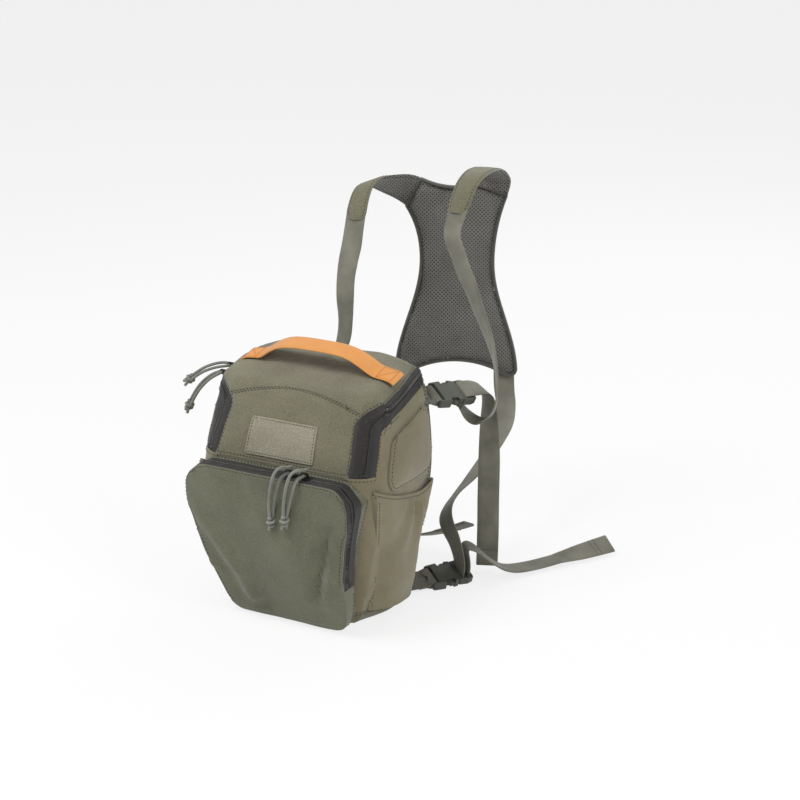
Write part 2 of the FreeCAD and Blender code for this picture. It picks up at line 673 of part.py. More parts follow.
def slider(free_side):
    """Zip slider: two plates, a post in the slit, one flange and the bridge for the pull.

    Local X runs along the zip, local Z out of the fabric.  free_side is +1 or -1: the side
    of local Y whose tape is let go, so the flange stands on the other one.
    """
    head = SLIDER_HEAD_WIDTH / 2
    tail = SLIDER_TAIL_WIDTH / 2
    half = SLIDER_LENGTH / 2
    shield = [(-half, -tail), (0, -tail), (half, -head), (half, head), (0, tail), (-half, tail)]
    corners = [SLIDER_CORNER, 0, SLIDER_CORNER, SLIDER_CORNER, 0, SLIDER_CORNER]
    top = rounded_plate(shield, corners, 0, SLIDER_PLATE)
    coil_bottom = SKIN + COIL_DEPTH + RUNNING_GAP
    bottom = rounded_plate(shield, corners, -coil_bottom - SLIDER_PLATE, -coil_bottom)
    post = block(x=(half - POST_LENGTH - SLIDER_CORNER, half - SLIDER_CORNER),
                 y=(-POST_THICK / 2, POST_THICK / 2), z=(-coil_bottom, 0))
    flange_in = ZIP_SLIT / 2 + COIL_WIDTH + RUNNING_GAP
    flange_y = sorted((-free_side * flange_in, -free_side * (flange_in + FLANGE)))
    flange = block(x=(-half + SLIDER_CORNER, 0), y=flange_y, z=(-coil_bottom, -SKIN - RUNNING_GAP))
    span = BAIL_SPAN / 2
    bridge_line = [(-span, SLIDER_PLATE / 2), (-span, SLIDER_PLATE + BAIL_RISE - BAIL_THICK / 2),
                   (span, SLIDER_PLATE + BAIL_RISE - BAIL_THICK / 2), (span, SLIDER_PLATE / 2)]
    points, radii = thick_line(bridge_line, [0, BAIL_THICK, BAIL_THICK, 0], BAIL_THICK)
    edges = rounded_edges([V(a, -BAIL_WIDTH / 2, b) for a, b in points], radii)
    bridge = Part.Face(Part.Wire(edges)).extrude(Y_AXIS * BAIL_WIDTH)
    return top.multiFuse([bottom, post, flange, bridge]).removeSplitter()


def pull_tab():
    """Flat pull with a square eye round the bridge and a round eye for the cord.

    It stands straight out of the fabric along local Z, its eye's bar in the bridge's tunnel.
    """
    bar = TAB_THICK
    side = TAB_WIDTH / 2
    low = TUNNEL_Z - bar / 2
    high = low + TAB_LENGTH
    outline = [(-side, low), (side, low), (side, high), (-side, high)]
    radii = [SLIDER_CORNER / 2, SLIDER_CORNER / 2, side - COINCIDENT, side - COINCIDENT]
    edges = rounded_edges([V(-TAB_THICK / 2, a, b) for a, b in outline], radii)
    tab = Part.Face(Part.Wire(edges)).extrude(X_AXIS * TAB_THICK)
    eye_half = BAIL_WIDTH / 2 + RUNNING_GAP
    eye = block(x=(-TAB_THICK, TAB_THICK), y=(-eye_half, eye_half),
                z=(TUNNEL_Z + bar / 2, TUNNEL_Z + bar / 2 + BAIL_SPAN / 2 + BAIL_THICK))
    hole = Part.makeCylinder(TAB_EYE / 2, 2 * TAB_THICK, V(-TAB_THICK, 0, high - side), X_AXIS)
    return tab.cut(eye).cut(hole)


TAB_HOLE_Z = TUNNEL_Z - TAB_THICK / 2 + TAB_LENGTH - TAB_WIDTH / 2

def main_slider_frame(y):
    """Frame of a slider on the left side wall's zip line, at a depth."""
    on_line = brow_point(ZIP_LEAN_DEPTH, ZIP_CROWN_DEPTH)
    on_line += CROWN * ((y - on_line.y) / CROWN.y)
    return frame_at(V(-HALF_WIDTH, on_line.y, on_line.z), CROWN * -1, X_AXIS * -1)


def pocket_slider_frame(x):
    """Frame of a slider on the pocket's top face."""
    depth = SKIN + COIL_DEPTH / 2
    z = shelf_z(POCKET_FRONT_Y + POCKET_ZIP_BACK) - depth
    in_slit = V(x, pocket_front_at(z) + POCKET_ZIP_BACK, z)
    return frame_at(in_slit + SHELF_OUT * depth, X_AXIS, SHELF_OUT)


def bends(points):
    """Radius of the arc at each inner point of a route: as large as its two runs allow."""
    radii = [0]
    for before, corner, after in zip(points, points[1:], points[2:]):
        run = min(before.distanceToPoint(corner), corner.distanceToPoint(after))
        half_turn = (corner - before).getAngle(after - corner) / 2
        radii.append(BEND_SHARE * run / math.tan(half_turn))
    return radii + [0]


def tube(name, points):
    """A cord of one diameter along straight runs joined by tangent arcs."""
    radii = bends(points)
    path = Part.Wire(rounded_edges(points, radii, closed=False))
    ring = Part.makeCircle(CORD / 2, points[0], points[1] - points[0])
    cord = path.makePipeShell([Part.Wire(ring)], True, False)
    section = math.pi * CORD * CORD / 4
    print(f"{name}: length {path.Length:.1f}, volume over section times length "
          f"{cord.Volume / (section * path.Length):.4f}, radii "
          + ", ".join(f"{r:.1f}" for r in radii[1:-1]))
    return cord


def knot(at, along):
    """Overhand knot as a short barrel, its near face where the two strands enter."""
    bead = Part.makeCylinder(KNOT_RADIUS, KNOT_LENGTH, at, along)
    rims = [edge for edge in bead.Edges if edge.isClosed()]
    return bead.makeFillet(KNOT_ROUND, rims)


def pull_cord(name, route):
    """Doubled cord: one strand out to the turn, back beside itself, and the knot on both ends."""
    cord = tube(name, route)
    ends = (route[0] + route[-1]) * 0.5
    inward = (route[1] - route[0]) + (route[-2] - route[-1])
    return Part.makeCompound([cord, knot(ends, inward * -1)])


def main_pull_route(y, out, home):
    """From the knot to the tab's eye, through it along the zip, and back to the knot."""
    frame = main_slider_frame(y)
    half = PULL_TURN / 2
    return out + [frame.multVec(V(x, 0, TAB_HOLE_Z)) for x in (half, -half)] + home


def pocket_pull_route(x, out, home):
    """From the knot up over the flap, back under the bridge, and home above it."""
    frame = pocket_slider_frame(x)
    under = [frame.multVec(V(0, y, TUNNEL_Z)) for y in (-PULL_TURN, PULL_TURN)]
    over = [frame.multVec(V(0, y, TUNNEL_Z + PULL_TURN)) for y in (PULL_TURN, -PULL_TURN / 2)]
    return out + under + over + home


PULL_ROUTES = {
    "main_pull_cord_front": main_pull_route(
        FRONT_SLIDER_Y,
        [V(-163.0, 8.6, 199.0), V(-155.0, 8.0, 213.0), V(-146.0, 9.6, 225.0), V(-136.0, 12.4, 234.6)],
        [V(-138.0, 19.4, 237.4), V(-149.0, 15.6, 228.4), V(-158.4, 12.0, 216.2), V(-166.0, 11.4, 202.0)],
    ),
    "main_pull_cord_rear": main_pull_route(
        REAR_SLIDER_Y,
        [V(-170.0, 22.0, 224.6), V(-159.0, 23.0, 233.4), V(-147.0, 25.0, 239.4), V(-136.0, 28.4, 243.0)],
        [V(-137.0, 36.0, 246.0), V(-149.0, 31.4, 242.8), V(-161.0, 27.0, 236.6), V(-171.6, 24.4, 227.8)],
    ),
    "pocket_pull_cord_left": pocket_pull_route(
        POCKET_SLIDER_X[0],
        [V(12.0, -94.6, 130.0), V(13.6, -94.8, 145.0), V(17.2, -95.4, 159.0), V(20.4, -96.6, 171.0),
         V(22.0, -92.6, 178.4)],
        [V(20.4, -90.4, 188.0), V(17.6, -98.6, 185.0), V(15.0, -101.6, 173.0), V(12.0, -100.4, 159.0),
         V(9.8, -99.2, 145.0), V(10.4, -98.0, 130.4)],
    ),
    "pocket_pull_cord_right": pocket_pull_route(
        POCKET_SLIDER_X[1],
        [V(29.0, -94.6, 134.0), V(32.0, -95.0, 147.0), V(36.0, -95.6, 160.0), V(39.4, -96.6, 171.4),
         V(41.0, -92.6, 178.4)],
        [V(39.6, -90.4, 188.0), V(36.6, -98.6, 185.2), V(33.8, -101.8, 173.4), V(30.6, -100.6, 160.0),
         V(28.0, -99.4, 147.0), V(27.4, -98.0, 134.4)],
    ),
}


# ---------------------------------------------------------------- side-release buckles

BAR_END = BAR + BAR_SLOT                          # where the socket's solid end starts
CLIP_START = SOCKET_LENGTH + RUNNING_GAP
SLOT_ONE = CLIP_START + CLIP_SHOULDER             # web slots of the clip half
SLOT_TWO = SLOT_ONE + BAR_SLOT + BAR
CLIP_LENGTH = CLIP_SHOULDER + 2 * BAR_SLOT + BAR + CLIP_END_BAR
BAR_THICK = 4.4


def web_slot(x):
    """Cutter for one slot across the width, passing right through."""
    points, radii = rectangle(BAR_SLOT, SLOT_WIDTH, SLOT_CORNER, x)
    return rounded_plate(points, radii, -BUCKLE_THICK, BUCKLE_THICK)


def thinned_bar(x, length):
    """Cutters that take a webbing bar down to its own thickness on both faces."""
    half = SLOT_WIDTH / 2
    above = block(x=(x, x + length), y=(-half, half), z=(BAR_THICK / 2, BUCKLE_THICK))
    below = block(x=(x, x + length), y=(-half, half), z=(-BUCKLE_THICK, -BAR_THICK / 2))
    return [above, below]


def eased(shape, radius):
    """The shape with its two outer face rims rounded."""
    top = shape.BoundBox.ZMax
    low = shape.BoundBox.ZMin
    rims = [e for e in shape.Edges
            if abs(e.BoundBox.ZMin - e.BoundBox.ZMax) < COINCIDENT
            and (abs(e.BoundBox.ZMin - top) < COINCIDENT or abs(e.BoundBox.ZMin - low) < COINCIDENT)]
    return shape.makeFillet(radius, rims)


def buckle_socket():
    """Female half: webbing bar, closed end, hollow for the prongs and two side windows."""
    half = BUCKLE_WIDTH / 2
    waist = half - BUCKLE_CORNER / 4
    outline = [(0, -waist), (WINDOW_START, -half), (WINDOW_END, -half), (SOCKET_LENGTH, -waist),
               (SOCKET_LENGTH, waist), (WINDOW_END, half), (WINDOW_START, half), (0, waist)]
    corner = BUCKLE_CORNER
    radii = [corner, corner, corner, corner / 2, corner / 2, corner, corner, corner]
    body = rounded_plate(outline, radii, -BUCKLE_THICK / 2, BUCKLE_THICK / 2)
    body = eased(body, BUCKLE_EDGE)
    bore = block(x=(SOCKET_BACK, SOCKET_LENGTH + 1), y=(-SOCKET_BORE_WIDTH / 2, SOCKET_BORE_WIDTH / 2),
                 z=(-SOCKET_BORE_THICK / 2, SOCKET_BORE_THICK / 2))
    cutters = [bore, web_slot(BAR)] + thinned_bar(-1, BAR + 1)
    for side in (1, -1):
        points, radii = rectangle(WINDOW_END - WINDOW_START, 2 * WINDOW_DEPTH, WINDOW_DEPTH / 2, WINDOW_START)
        window = rounded_plate(points, radii, -BUCKLE_THICK, BUCKLE_THICK)
        window.translate(Y_AXIS * side * half)
        cutters.append(window)
    return body.cut(cutters)


def buckle_clip():
    """Male half without its side prongs: shoulder, two web slots and the guide tongue."""
    half = BUCKLE_WIDTH / 2
    nose = half - BUCKLE_CORNER / 4
    tail = half - BUCKLE_CORNER / 2
    end = CLIP_START + CLIP_LENGTH
    outline = [(CLIP_START, -nose), (SLOT_TWO, -half), (end, -tail), (end, tail), (SLOT_TWO, half),
               (CLIP_START, nose)]
    radii = [1.0, BUCKLE_CORNER, BUCKLE_CORNER / 2, BUCKLE_CORNER / 2, BUCKLE_CORNER, 1.0]
    body = rounded_plate(outline, radii, -CLIP_THICK / 2, CLIP_THICK / 2)
    body = eased(body, BUCKLE_EDGE)
    cutters = [web_slot(SLOT_ONE), web_slot(SLOT_TWO)] + thinned_bar(SLOT_ONE + BAR_SLOT, BAR)
    body = body.cut(cutters)
    points, radii = rectangle(GUIDE_REACH + 1, GUIDE_WIDTH, GUIDE_WIDTH / 3, CLIP_START - GUIDE_REACH)
    return body.fuse(rounded_plate(points, radii, -PRONG_THICK / 2, PRONG_THICK / 2))


def buckle_prongs():
    """The two springing side prongs with their barbs in the socket's windows."""
    root = PRONG_ROOT
    outer = PRONG_ROOT + PRONG_WIDTH
    barb_back = WINDOW_END - RUNNING_GAP
    barb_tip = barb_back - BARB_LENGTH
    reach = BUCKLE_WIDTH / 2 - RUNNING_GAP
    outline = [(CLIP_START, root), (CLIP_START, outer), (barb_back, outer), (barb_back, reach),
               (barb_back - BARB_LENGTH / 2, reach), (barb_tip, outer), (barb_tip, root)]
    radii = [0, 0, 0, 1.0, BARB_LENGTH / 4, 1.0, 1.0]
    prong = rounded_plate(outline, radii, -PRONG_THICK / 2, PRONG_THICK / 2)
    return Part.makeCompound([prong, prong.mirror(V(0, 0, 0), Y_AXIS)])


def web_loop(line, radii):
    """Flat webbing bent along a line of local (x, z) points, centred across the buckle."""
    points, bends_in = thick_line(line, radii, WEB_THICK)
    edges = rounded_edges([V(a, WEB_WIDTH / 2, b) for a, b in points], bends_in)
    return Part.Face(Part.Wire(edges)).extrude(Y_AXIS * -WEB_WIDTH)


def anchor_loop():
    """Webbing loop round the socket's bar; both ends are sewn into the case's corner seam."""
    over = BAR_THICK / 2 + RUNNING_GAP + WEB_THICK / 2
    around = BAR + BAR_SLOT / 2
    near = (WEB_THICK + RUNNING_GAP) / 2
    line = [(-2 * ANCHOR_LENGTH, near), (-ANCHOR_LENGTH / 2, near), (-WEB_THICK, over), (around, over),
            (around, -over), (-WEB_THICK, -over), (-ANCHOR_LENGTH / 2, -near), (-2 * ANCHOR_LENGTH, -near)]
    return web_loop(line, [0, over, over, WEB_THICK * 1.5, WEB_THICK * 1.5, over, over, 0])


# ---------------------------------------------------------------- webbing straps and tails

def route_stations(points):
    """Places and directions along straight runs joined by tangent arcs.

    Each comes with the number of the route's point where it lies, or None beside one.
    """
    stations = [(points[0], points[1] - points[0], 0)]
    for i, radius in enumerate(bends(points)[1:-1], 1):
        coming = (points[i] - points[i - 1]).normalize()
        going = (points[i + 1] - points[i]).normalize()
        start, middle, end = corner_arc(points[i - 1], points[i], points[i + 1], radius)
        stations += [(start, coming, None), (middle, coming + going, i), (end, going, None)]
    stations.append((points[-1], points[-1] - points[-2], len(points) - 1))
    return [(place, direction.normalize(), number) for place, direction, number in stations]


def square_to(direction, side):
    """The part of side at right angles to the direction, of length 1."""
    return (side - direction * side.dot(direction)).normalize()


def width_directions(stations, facing):
    """The band's width direction at each station.

    facing gives it at some points of the route, the first and last among them.  Between two
    of them the band is carried along untwisted, and what is left to turn is spread evenly.
    """
    ahead = [direction for _, direction, _ in stations]
    numbers = [number for _, _, number in stations]
    marks = sorted(facing)
    sides = [square_to(ahead[0], facing[0])]
    for low, high in zip(marks, marks[1:]):
        first, last = numbers.index(low), numbers.index(high)
        carried = [square_to(ahead[first], facing[low])]
        for before, after in zip(ahead[first:last], ahead[first + 1:last + 1]):
            carried.append(FreeCAD.Rotation(before, after).multVec(carried[-1]))
        wanted = square_to(ahead[last], facing[high])
        twist = math.degrees(carried[-1].getAngle(wanted))
        if carried[-1].cross(wanted).dot(ahead[last]) < 0:
            twist = -twist
        for step in range(1, last - first + 1):
            turn = FreeCAD.Rotation(ahead[first + step], twist * step / (last - first))
            sides.append(turn.multVec(carried[step]))
    return sides


def ribbon(points, facing, widths, thick):
    """A flat band through the route, as ruled faces between its stations."""
    stations = route_stations(points)
    sides = width_directions(stations, facing)
    total = len(stations) - 1
    sections = []
    for i, ((place, ahead, _), side) in enumerate(zip(stations, sides)):
        up = ahead.cross(side) * (thick / 2)
        half = side * (widths[0] + (widths[1] - widths[0]) * i / total) / 2
        corners = [place + half + up, place - half + up, place - half - up, place + half - up]
        sections.append(Part.makePolygon(corners + corners[:1]))
    return Part.makeLoft(sections, True, True)


def webbing(points, facing):
    """A webbing strap or tail."""
    return ribbon(points, facing, (WEB_WIDTH, WEB_WIDTH), WEB_THICK)


# ---------------------------------------------------------------- yoke

YOKE_FRAME = FreeCAD.Placement(YOKE_AT, FreeCAD.Rotation(Z_AXIS, YOKE_YAW))
YOKE_SIDE = YOKE_FRAME.Rotation.multVec(X_AXIS)


def left_of(point):
    """The mirrored point on the left-hand side."""
    return V(-point.x, point.y, point.z)


def arm_root(side, depth, across, rise):
    """A point near the edge where an arm is sewn in, in the yoke's own frame."""
    turn = FreeCAD.Rotation(Y_AXIS, ARM_LEAN[side])
    point = V(ARM_U[side], depth, ARM_W[side]) + turn.multVec(V(across, 0, rise))
    return point if side == "right" else left_of(point)


def arm_across(side):
    """Width direction of an arm where it is sewn in."""
    inner, outer = (arm_root(side, 0, across, 0) for across in (-1, 1))
    right_hand = (outer - inner) if side == "right" else (inner - outer)
    return YOKE_FRAME.Rotation.multVec(right_hand.normalize())


def yoke_side(side, low):
    """Side edge of the yoke: from the outer corner of its foot up to the arm's outer corner."""
    sign = 1 if side == "right" else -1
    line = [(YOKE_FOOT_HALF, YOKE_FOOT_W), (YOKE_HIP_HALF, YOKE_HIP_W), (YOKE_WAIST_HALF, YOKE_WAIST_LOW_W),
            (YOKE_WAIST_HALF, -YOKE_WAIST_LOW_W / 2)]
    curve = Part.BSplineCurve()
    curve.interpolate([V(sign * u, low, w) for u, w in line] + [arm_root(side, low, ARM_ROOT_WIDTH / 2, 0)])
    return curve.toShape()


def yoke_layer(low, high):
    """One layer of the hourglass yoke plate, between two distances from its inner face."""
    foot_left = V(-YOKE_FOOT_HALF, low, YOKE_FOOT_W)
    foot_right = V(YOKE_FOOT_HALF, low, YOKE_FOOT_W)
    arch = Part.Arc(foot_left, V(0, low, YOKE_FOOT_W + YOKE_FOOT_ARCH), foot_right).toShape()
    outer = [arm_root(side, low, ARM_ROOT_WIDTH / 2, 0) for side in ("right", "left")]
    inner = [arm_root(side, low, -ARM_ROOT_WIDTH / 2, 0) for side in ("right", "left")]
    dip = V(0, low, (inner[0].z + inner[1].z) / 2 - YOKE_NECK_DIP)
    neck = Part.Arc(inner[0], dip, inner[1]).toShape()
    seams = [Part.makeLine(a, b) for a, b in zip(outer, inner)]
    outline = [arch, yoke_side("right", low), seams[0], neck, seams[1], yoke_side("left", low)]
    plate = Part.Face(Part.Wire(outline)).extrude(Y_AXIS * (high - low))
    corners = [e for e in plate.Edges if e.BoundBox.XLength < COINCIDENT
               and e.BoundBox.ZLength < COINCIDENT and e.BoundBox.Center.z < YOKE_HIP_W]
    return placed(plate.makeFillet(YOKE_CORNER, corners), YOKE_FRAME)


def yoke_point(u, depth, w):
    """A point of the yoke: across, behind its inner face, and up."""
    return YOKE_FRAME.multVec(V(u, depth, w))


# ---------------------------------------------------------------- webbing routes

UPPER_FRAME = frame_at(UPPER_BUCKLE_AT, UPPER_BUCKLE_ALONG, UPPER_BUCKLE_FACE)
LOWER_FRAME = frame_at(LOWER_BUCKLE_AT, LOWER_BUCKLE_ALONG, LOWER_BUCKLE_FACE)
SLOT_ONE_MID = SLOT_ONE + BAR_SLOT / 2
SLOT_TWO_MID = SLOT_TWO + BAR_SLOT / 2
CLIP_TIP = CLIP_START + CLIP_LENGTH
OUT_OF_SLOT = CLIP_THICK / 2 + WEB_THICK * 2
OVER_BAR = BAR_THICK / 2 + RUNNING_GAP + WEB_THICK / 2
OVER_CLIP = CLIP_THICK / 2 + RUNNING_GAP + WEB_THICK / 2


def across_of(frame):
    """The width direction of a buckle."""
    return frame.Rotation.multVec(Y_AXIS)


def leaving(frame, x, low, high):
    """Two points of webbing that leaves a slot square to the buckle."""
    return [frame.multVec(V(x, 0, low)), frame.multVec(V(x, 0, high))]


# Upper straps leave the underside of their clip; lower straps leave its face.
UPPER_STRAP_LEAD = leaving(UPPER_FRAME, SLOT_ONE_MID, -OUT_OF_SLOT - RUNNING_GAP, -2 * OUT_OF_SLOT)
LOWER_STRAP_LEAD = leaving(LOWER_FRAME, SLOT_ONE_MID, OUT_OF_SLOT + RUNNING_GAP, 2 * OUT_OF_SLOT)
LOWER_TAIL_LEAD = leaving(LOWER_FRAME, SLOT_TWO_MID, OUT_OF_SLOT, 2 * OUT_OF_SLOT)
UPPER_TAIL_LEAD = [UPPER_FRAME.multVec(V(CLIP_TIP + reach * WEB_THICK, 0, OVER_CLIP)) for reach in (1, 6)]


def mirrored_points(points):
    """The same points on the left-hand side."""
    return [left_of(point) for point in points]


def sewn_end(u):
    """Last two points of a lower strap, flat on the back of the yoke's foot."""
    depth = YOKE_MESH + YOKE_FOAM + YOKE_COVER + 2 * RUNNING_GAP + WEB_THICK / 2
    below = YOKE_FOOT_W - WEB_WIDTH / 2
    return [yoke_point(u, depth, below), yoke_point(u, depth, YOKE_FOOT_W + YOKE_FOOT_ARCH)]


RIGHT_ARM_ROUTE = [
    YOKE_FRAME.multVec(arm_root("right", YOKE_MID, 0, 0)),
    YOKE_FRAME.multVec(arm_root("right", YOKE_MID, 0, ARM_LEAD)),
    yoke_point(44, -5, 99), yoke_point(39, -20, 109), yoke_point(31, -43, 113), yoke_point(20, -64, 110),
    yoke_point(10, -80, 96), V(67.0, 214.5, 404.0),
]
LEFT_ARM_ROUTE = [
    YOKE_FRAME.multVec(arm_root("left", YOKE_MID, 0, 0)),
    YOKE_FRAME.multVec(arm_root("left", YOKE_MID, 0, ARM_LEAD)),
    yoke_point(-82, -11, 89), yoke_point(-99, -27, 96), yoke_point(-112, -44, 84), V(-56.0, 197.0, 387.0),
]
RIGHT_UPPER_ROUTE = UPPER_STRAP_LEAD + [
    UPPER_FRAME.multVec(V(SLOT_ONE_MID + 8, 0, -19)), V(121.0, 139.0, 195.0), V(135.0, 139.0, 188.0),
    V(150.0, 136.0, 196.0), V(158.0, 138.0, 216.0), V(154.0, 146.0, 246.0), V(135.0, 164.0, 283.0),
    V(110.0, 179.0, 320.0), V(85.0, 191.0, 354.0), V(65.7, 201.3, 379.9), V(67.0, 214.3, 403.6),
]
LEFT_UPPER_ROUTE = mirrored_points(UPPER_STRAP_LEAD) + [
    V(-115.0, 134.0, 205.5), V(-113.0, 147.0, 194.0), V(-104.0, 161.0, 192.0), V(-88.0, 170.0, 199.0),
    V(-72.0, 171.0, 216.0), V(-59.0, 168.0, 242.0), V(-51.0, 166.0, 272.0), V(-52.0, 168.0, 306.0),
    V(-54.0, 177.0, 338.0), V(-54.8, 187.2, 362.8), V(-56.0, 196.8, 386.6),
]
RIGHT_LOWER_ROUTE = LOWER_STRAP_LEAD + [
    V(120.0, 114.0, 51.0), V(106.0, 121.0, 66.0), V(97.0, 137.0, 76.0), V(94.0, 165.0, 86.0),
    V(98.0, 203.0, 99.0), V(102.0, 243.0, 118.0), V(101.0, 278.0, 134.0), V(91.0, 306.0, 148.0),
] + sewn_end(YOKE_FOOT_U)
LEFT_LOWER_ROUTE = mirrored_points(LOWER_STRAP_LEAD) + [
    V(-120.0, 115.0, 50.0), V(-110.0, 124.0, 68.0), V(-97.0, 142.0, 86.0), V(-82.0, 168.0, 104.0),
    V(-62.0, 202.0, 122.0), V(-43.0, 240.0, 140.0),
] + sewn_end(-YOKE_FOOT_U)
UPPER_TAIL_ROUTE = UPPER_TAIL_LEAD + [
    V(136.6, 156.0, 222.0), V(137.6, 163.0, 204.0), V(137.0, 164.0, 174.0),
    V(138.0, 163.0, 134.0), V(136.6, 164.6, 90.0), V(137.0, 164.8, 46.0), V(135.4, 166.2, 6.0),
]
RIGHT_LOWER_TAIL_ROUTE = LOWER_TAIL_LEAD + [
    V(127.0, 123.0, 45.0), V(137.0, 130.0, 42.0), V(150.0, 141.0, 25.0), V(163.0, 158.0, 9.0),
    V(179.0, 187.0, 5.0), V(199.0, 222.0, 6.0), V(220.0, 252.0, 9.0), V(240.0, 282.0, 12.0),
]
LEFT_LOWER_TAIL_ROUTE = mirrored_points(LOWER_TAIL_LEAD) + [
    V(-124.0, 124.0, 43.0), V(-108.0, 137.0, 41.0), V(-79.0, 151.0, 33.0), V(-40.0, 161.0, 24.0),
    V(0.0, 166.0, 20.0), V(38.0, 169.0, 22.0), V(73.0, 173.0, 32.0), V(106.0, 177.0, 48.0),
]


def wrap_upper():
    """Upper webbing through the clip: up the first slot and out over the end bar."""
    line = [(SLOT_ONE_MID, -OUT_OF_SLOT), (SLOT_ONE_MID, OVER_CLIP), (CLIP_TIP + WEB_THICK, OVER_CLIP)]
    return web_loop(line, [0, WEB_THICK * 1.6, 0])


def wrap_lower():
    """Lower webbing through the clip: down the first slot, under the bar, up the second."""
    line = [(SLOT_ONE_MID, OUT_OF_SLOT), (SLOT_ONE_MID, -OVER_BAR), (SLOT_TWO_MID, -OVER_BAR),
            (SLOT_TWO_MID, OUT_OF_SLOT)]
    bend = WEB_THICK * 1.4
    return web_loop(line, [0, bend, bend, 0])


def tails():
    """The free ends of the webbing, each with its stretch through the clip."""
    upper_side = across_of(UPPER_FRAME)
    lower_side = across_of(LOWER_FRAME)
    upper = webbing(UPPER_TAIL_ROUTE, {0: upper_side, 3: V(-0.9, 0.4, 0), 5: V(-0.95, -0.3, 0), 8: V(-0.9, -0.42, 0)})
    upper = upper.fuse(placed(wrap_upper(), UPPER_FRAME))
    right = webbing(RIGHT_LOWER_TAIL_ROUTE, {0: lower_side, 5: V(-0.7, 0.65, 0), 7: V(-0.8, 0.5, 0), 9: V(-0.8, 0.3, 0.5)})
    left = webbing(LEFT_LOWER_TAIL_ROUTE, {0: left_of(lower_side), 5: V(0.3, 0.9, -0.2), 9: V(0.2, 0.9, -0.4)})
    lower_wrap = placed(wrap_lower(), LOWER_FRAME)
    return {
        "upper_right_tail": upper,
        "upper_left_tail": mirrored(upper),
        "lower_right_tail": right.fuse(lower_wrap),
        "lower_left_tail": left.fuse(mirrored(lower_wrap)),
    }


def straps():
    """The four straps from the clips to the yoke."""
    upper_side = across_of(UPPER_FRAME)
    lower_side = across_of(LOWER_FRAME)
    return {
        "upper_right_strap": webbing(
            RIGHT_UPPER_ROUTE, {0: upper_side, 4: V(-0.3, 0.9, 0), 6: V(-0.3, 0.9, 0), 12: X_AXIS * -1}),
        "upper_left_strap": webbing(
            LEFT_UPPER_ROUTE, {0: left_of(upper_side), 10: V(1, 0.1, 0), 12: X_AXIS}),
        "lower_right_strap": webbing(RIGHT_LOWER_ROUTE, {0: lower_side, 11: YOKE_SIDE * -1}),
        "lower_left_strap": webbing(LEFT_LOWER_ROUTE, {0: left_of(lower_side), 9: YOKE_SIDE}),
    }


# ---------------------------------------------------------------- the pack

def build():
    """Every sub-part in its place, by name."""
    outer = case_body(0)
    lining = case_body(SKIN)
    foam_inner = case_body(SKIN + FOAM)
    shell = outer.cut(lining)
    parts = shell_panels(shell)
    parts.update(lid_panels(shell))
    parts.update(foam_panels(lining.cut(foam_inner)))
    coil_bottom = case_body(SKIN + COIL_DEPTH)
    lid_tape, case_tape = main_tapes(case_body(TAPE_SUNK), lining, coil_bottom)
    parts["main_zip_lid_tape"] = lid_tape
    parts["main_zip_case_tape"] = case_tape
    parts["label_patch"] = label_patch()
    parts["handle"] = handle(outer)
    parts.update(front_pocket(outer))
    pad = side_pad(outer)
    pouch = side_pocket(outer)
    parts["right_side_pad"] = pad
    parts["left_side_pad"] = mirrored(pad)
    parts["right_side_pocket"] = pouch
    parts["left_side_pocket"] = mirrored(pouch)

    for place, y in (("front", FRONT_SLIDER_Y), ("rear", REAR_SLIDER_Y)):
        frame = main_slider_frame(y)
        parts[f"main_slider_{place}"] = placed(slider(1), frame)
        parts[f"main_pull_tab_{place}"] = placed(pull_tab(), frame)
    for place, x in zip(("left", "right"), POCKET_SLIDER_X):
        parts[f"pocket_slider_{place}"] = placed(slider(1), pocket_slider_frame(x))
    for name, route in PULL_ROUTES.items():
        parts[name] = pull_cord(name, route)

    socket = buckle_socket()
    clip = buckle_clip()
    prongs = buckle_prongs()
    loops = []
    for level, frame in (("upper", UPPER_FRAME), ("lower", LOWER_FRAME)):
        loop = placed(anchor_loop(), frame).cut(outer)
        loops += [loop, mirrored(loop)]
        for kind, shape in (("socket", socket), ("clip", clip), ("prongs", prongs)):
            right = placed(shape, frame)
            parts[f"{level}_right_{kind}"] = right
            parts[f"{level}_left_{kind}"] = mirrored(right)
    parts["anchor_loops"] = Part.makeCompound(loops)
    parts.update(tails())
    parts.update(straps())

    foam_back = YOKE_MESH + YOKE_FOAM
    parts["yoke_mesh"] = yoke_layer(0, YOKE_MESH)
    parts["yoke_foam"] = yoke_layer(YOKE_MESH, foam_back)
    parts["yoke_cover"] = yoke_layer(foam_back, foam_back + YOKE_COVER)
    arm_widths = (ARM_ROOT_WIDTH, ARM_WIDTH)
    for side, route in (("right", RIGHT_ARM_ROUTE), ("left", LEFT_ARM_ROUTE)):
        facing = {0: arm_across(side), len(route) - 1: X_AXIS}
        parts[f"{side}_shoulder_arm"] = ribbon(route, facing, arm_widths, ARM_THICK)
    return parts


os.makedirs("parts", exist_ok=True)
for name, shape in build().items():
    shape.exportStep(f"parts/{name}.step")
    print(f"{name}: {shape.Volume / 1000:.1f} cm3, {len(shape.Solids)} solid(s)")
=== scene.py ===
import math
import bmesh
import bpy
from mathutils import Matrix, Quaternion, Vector, noise
from mathutils.bvhtree import BVHTree
from mathutils.kdtree import KDTree


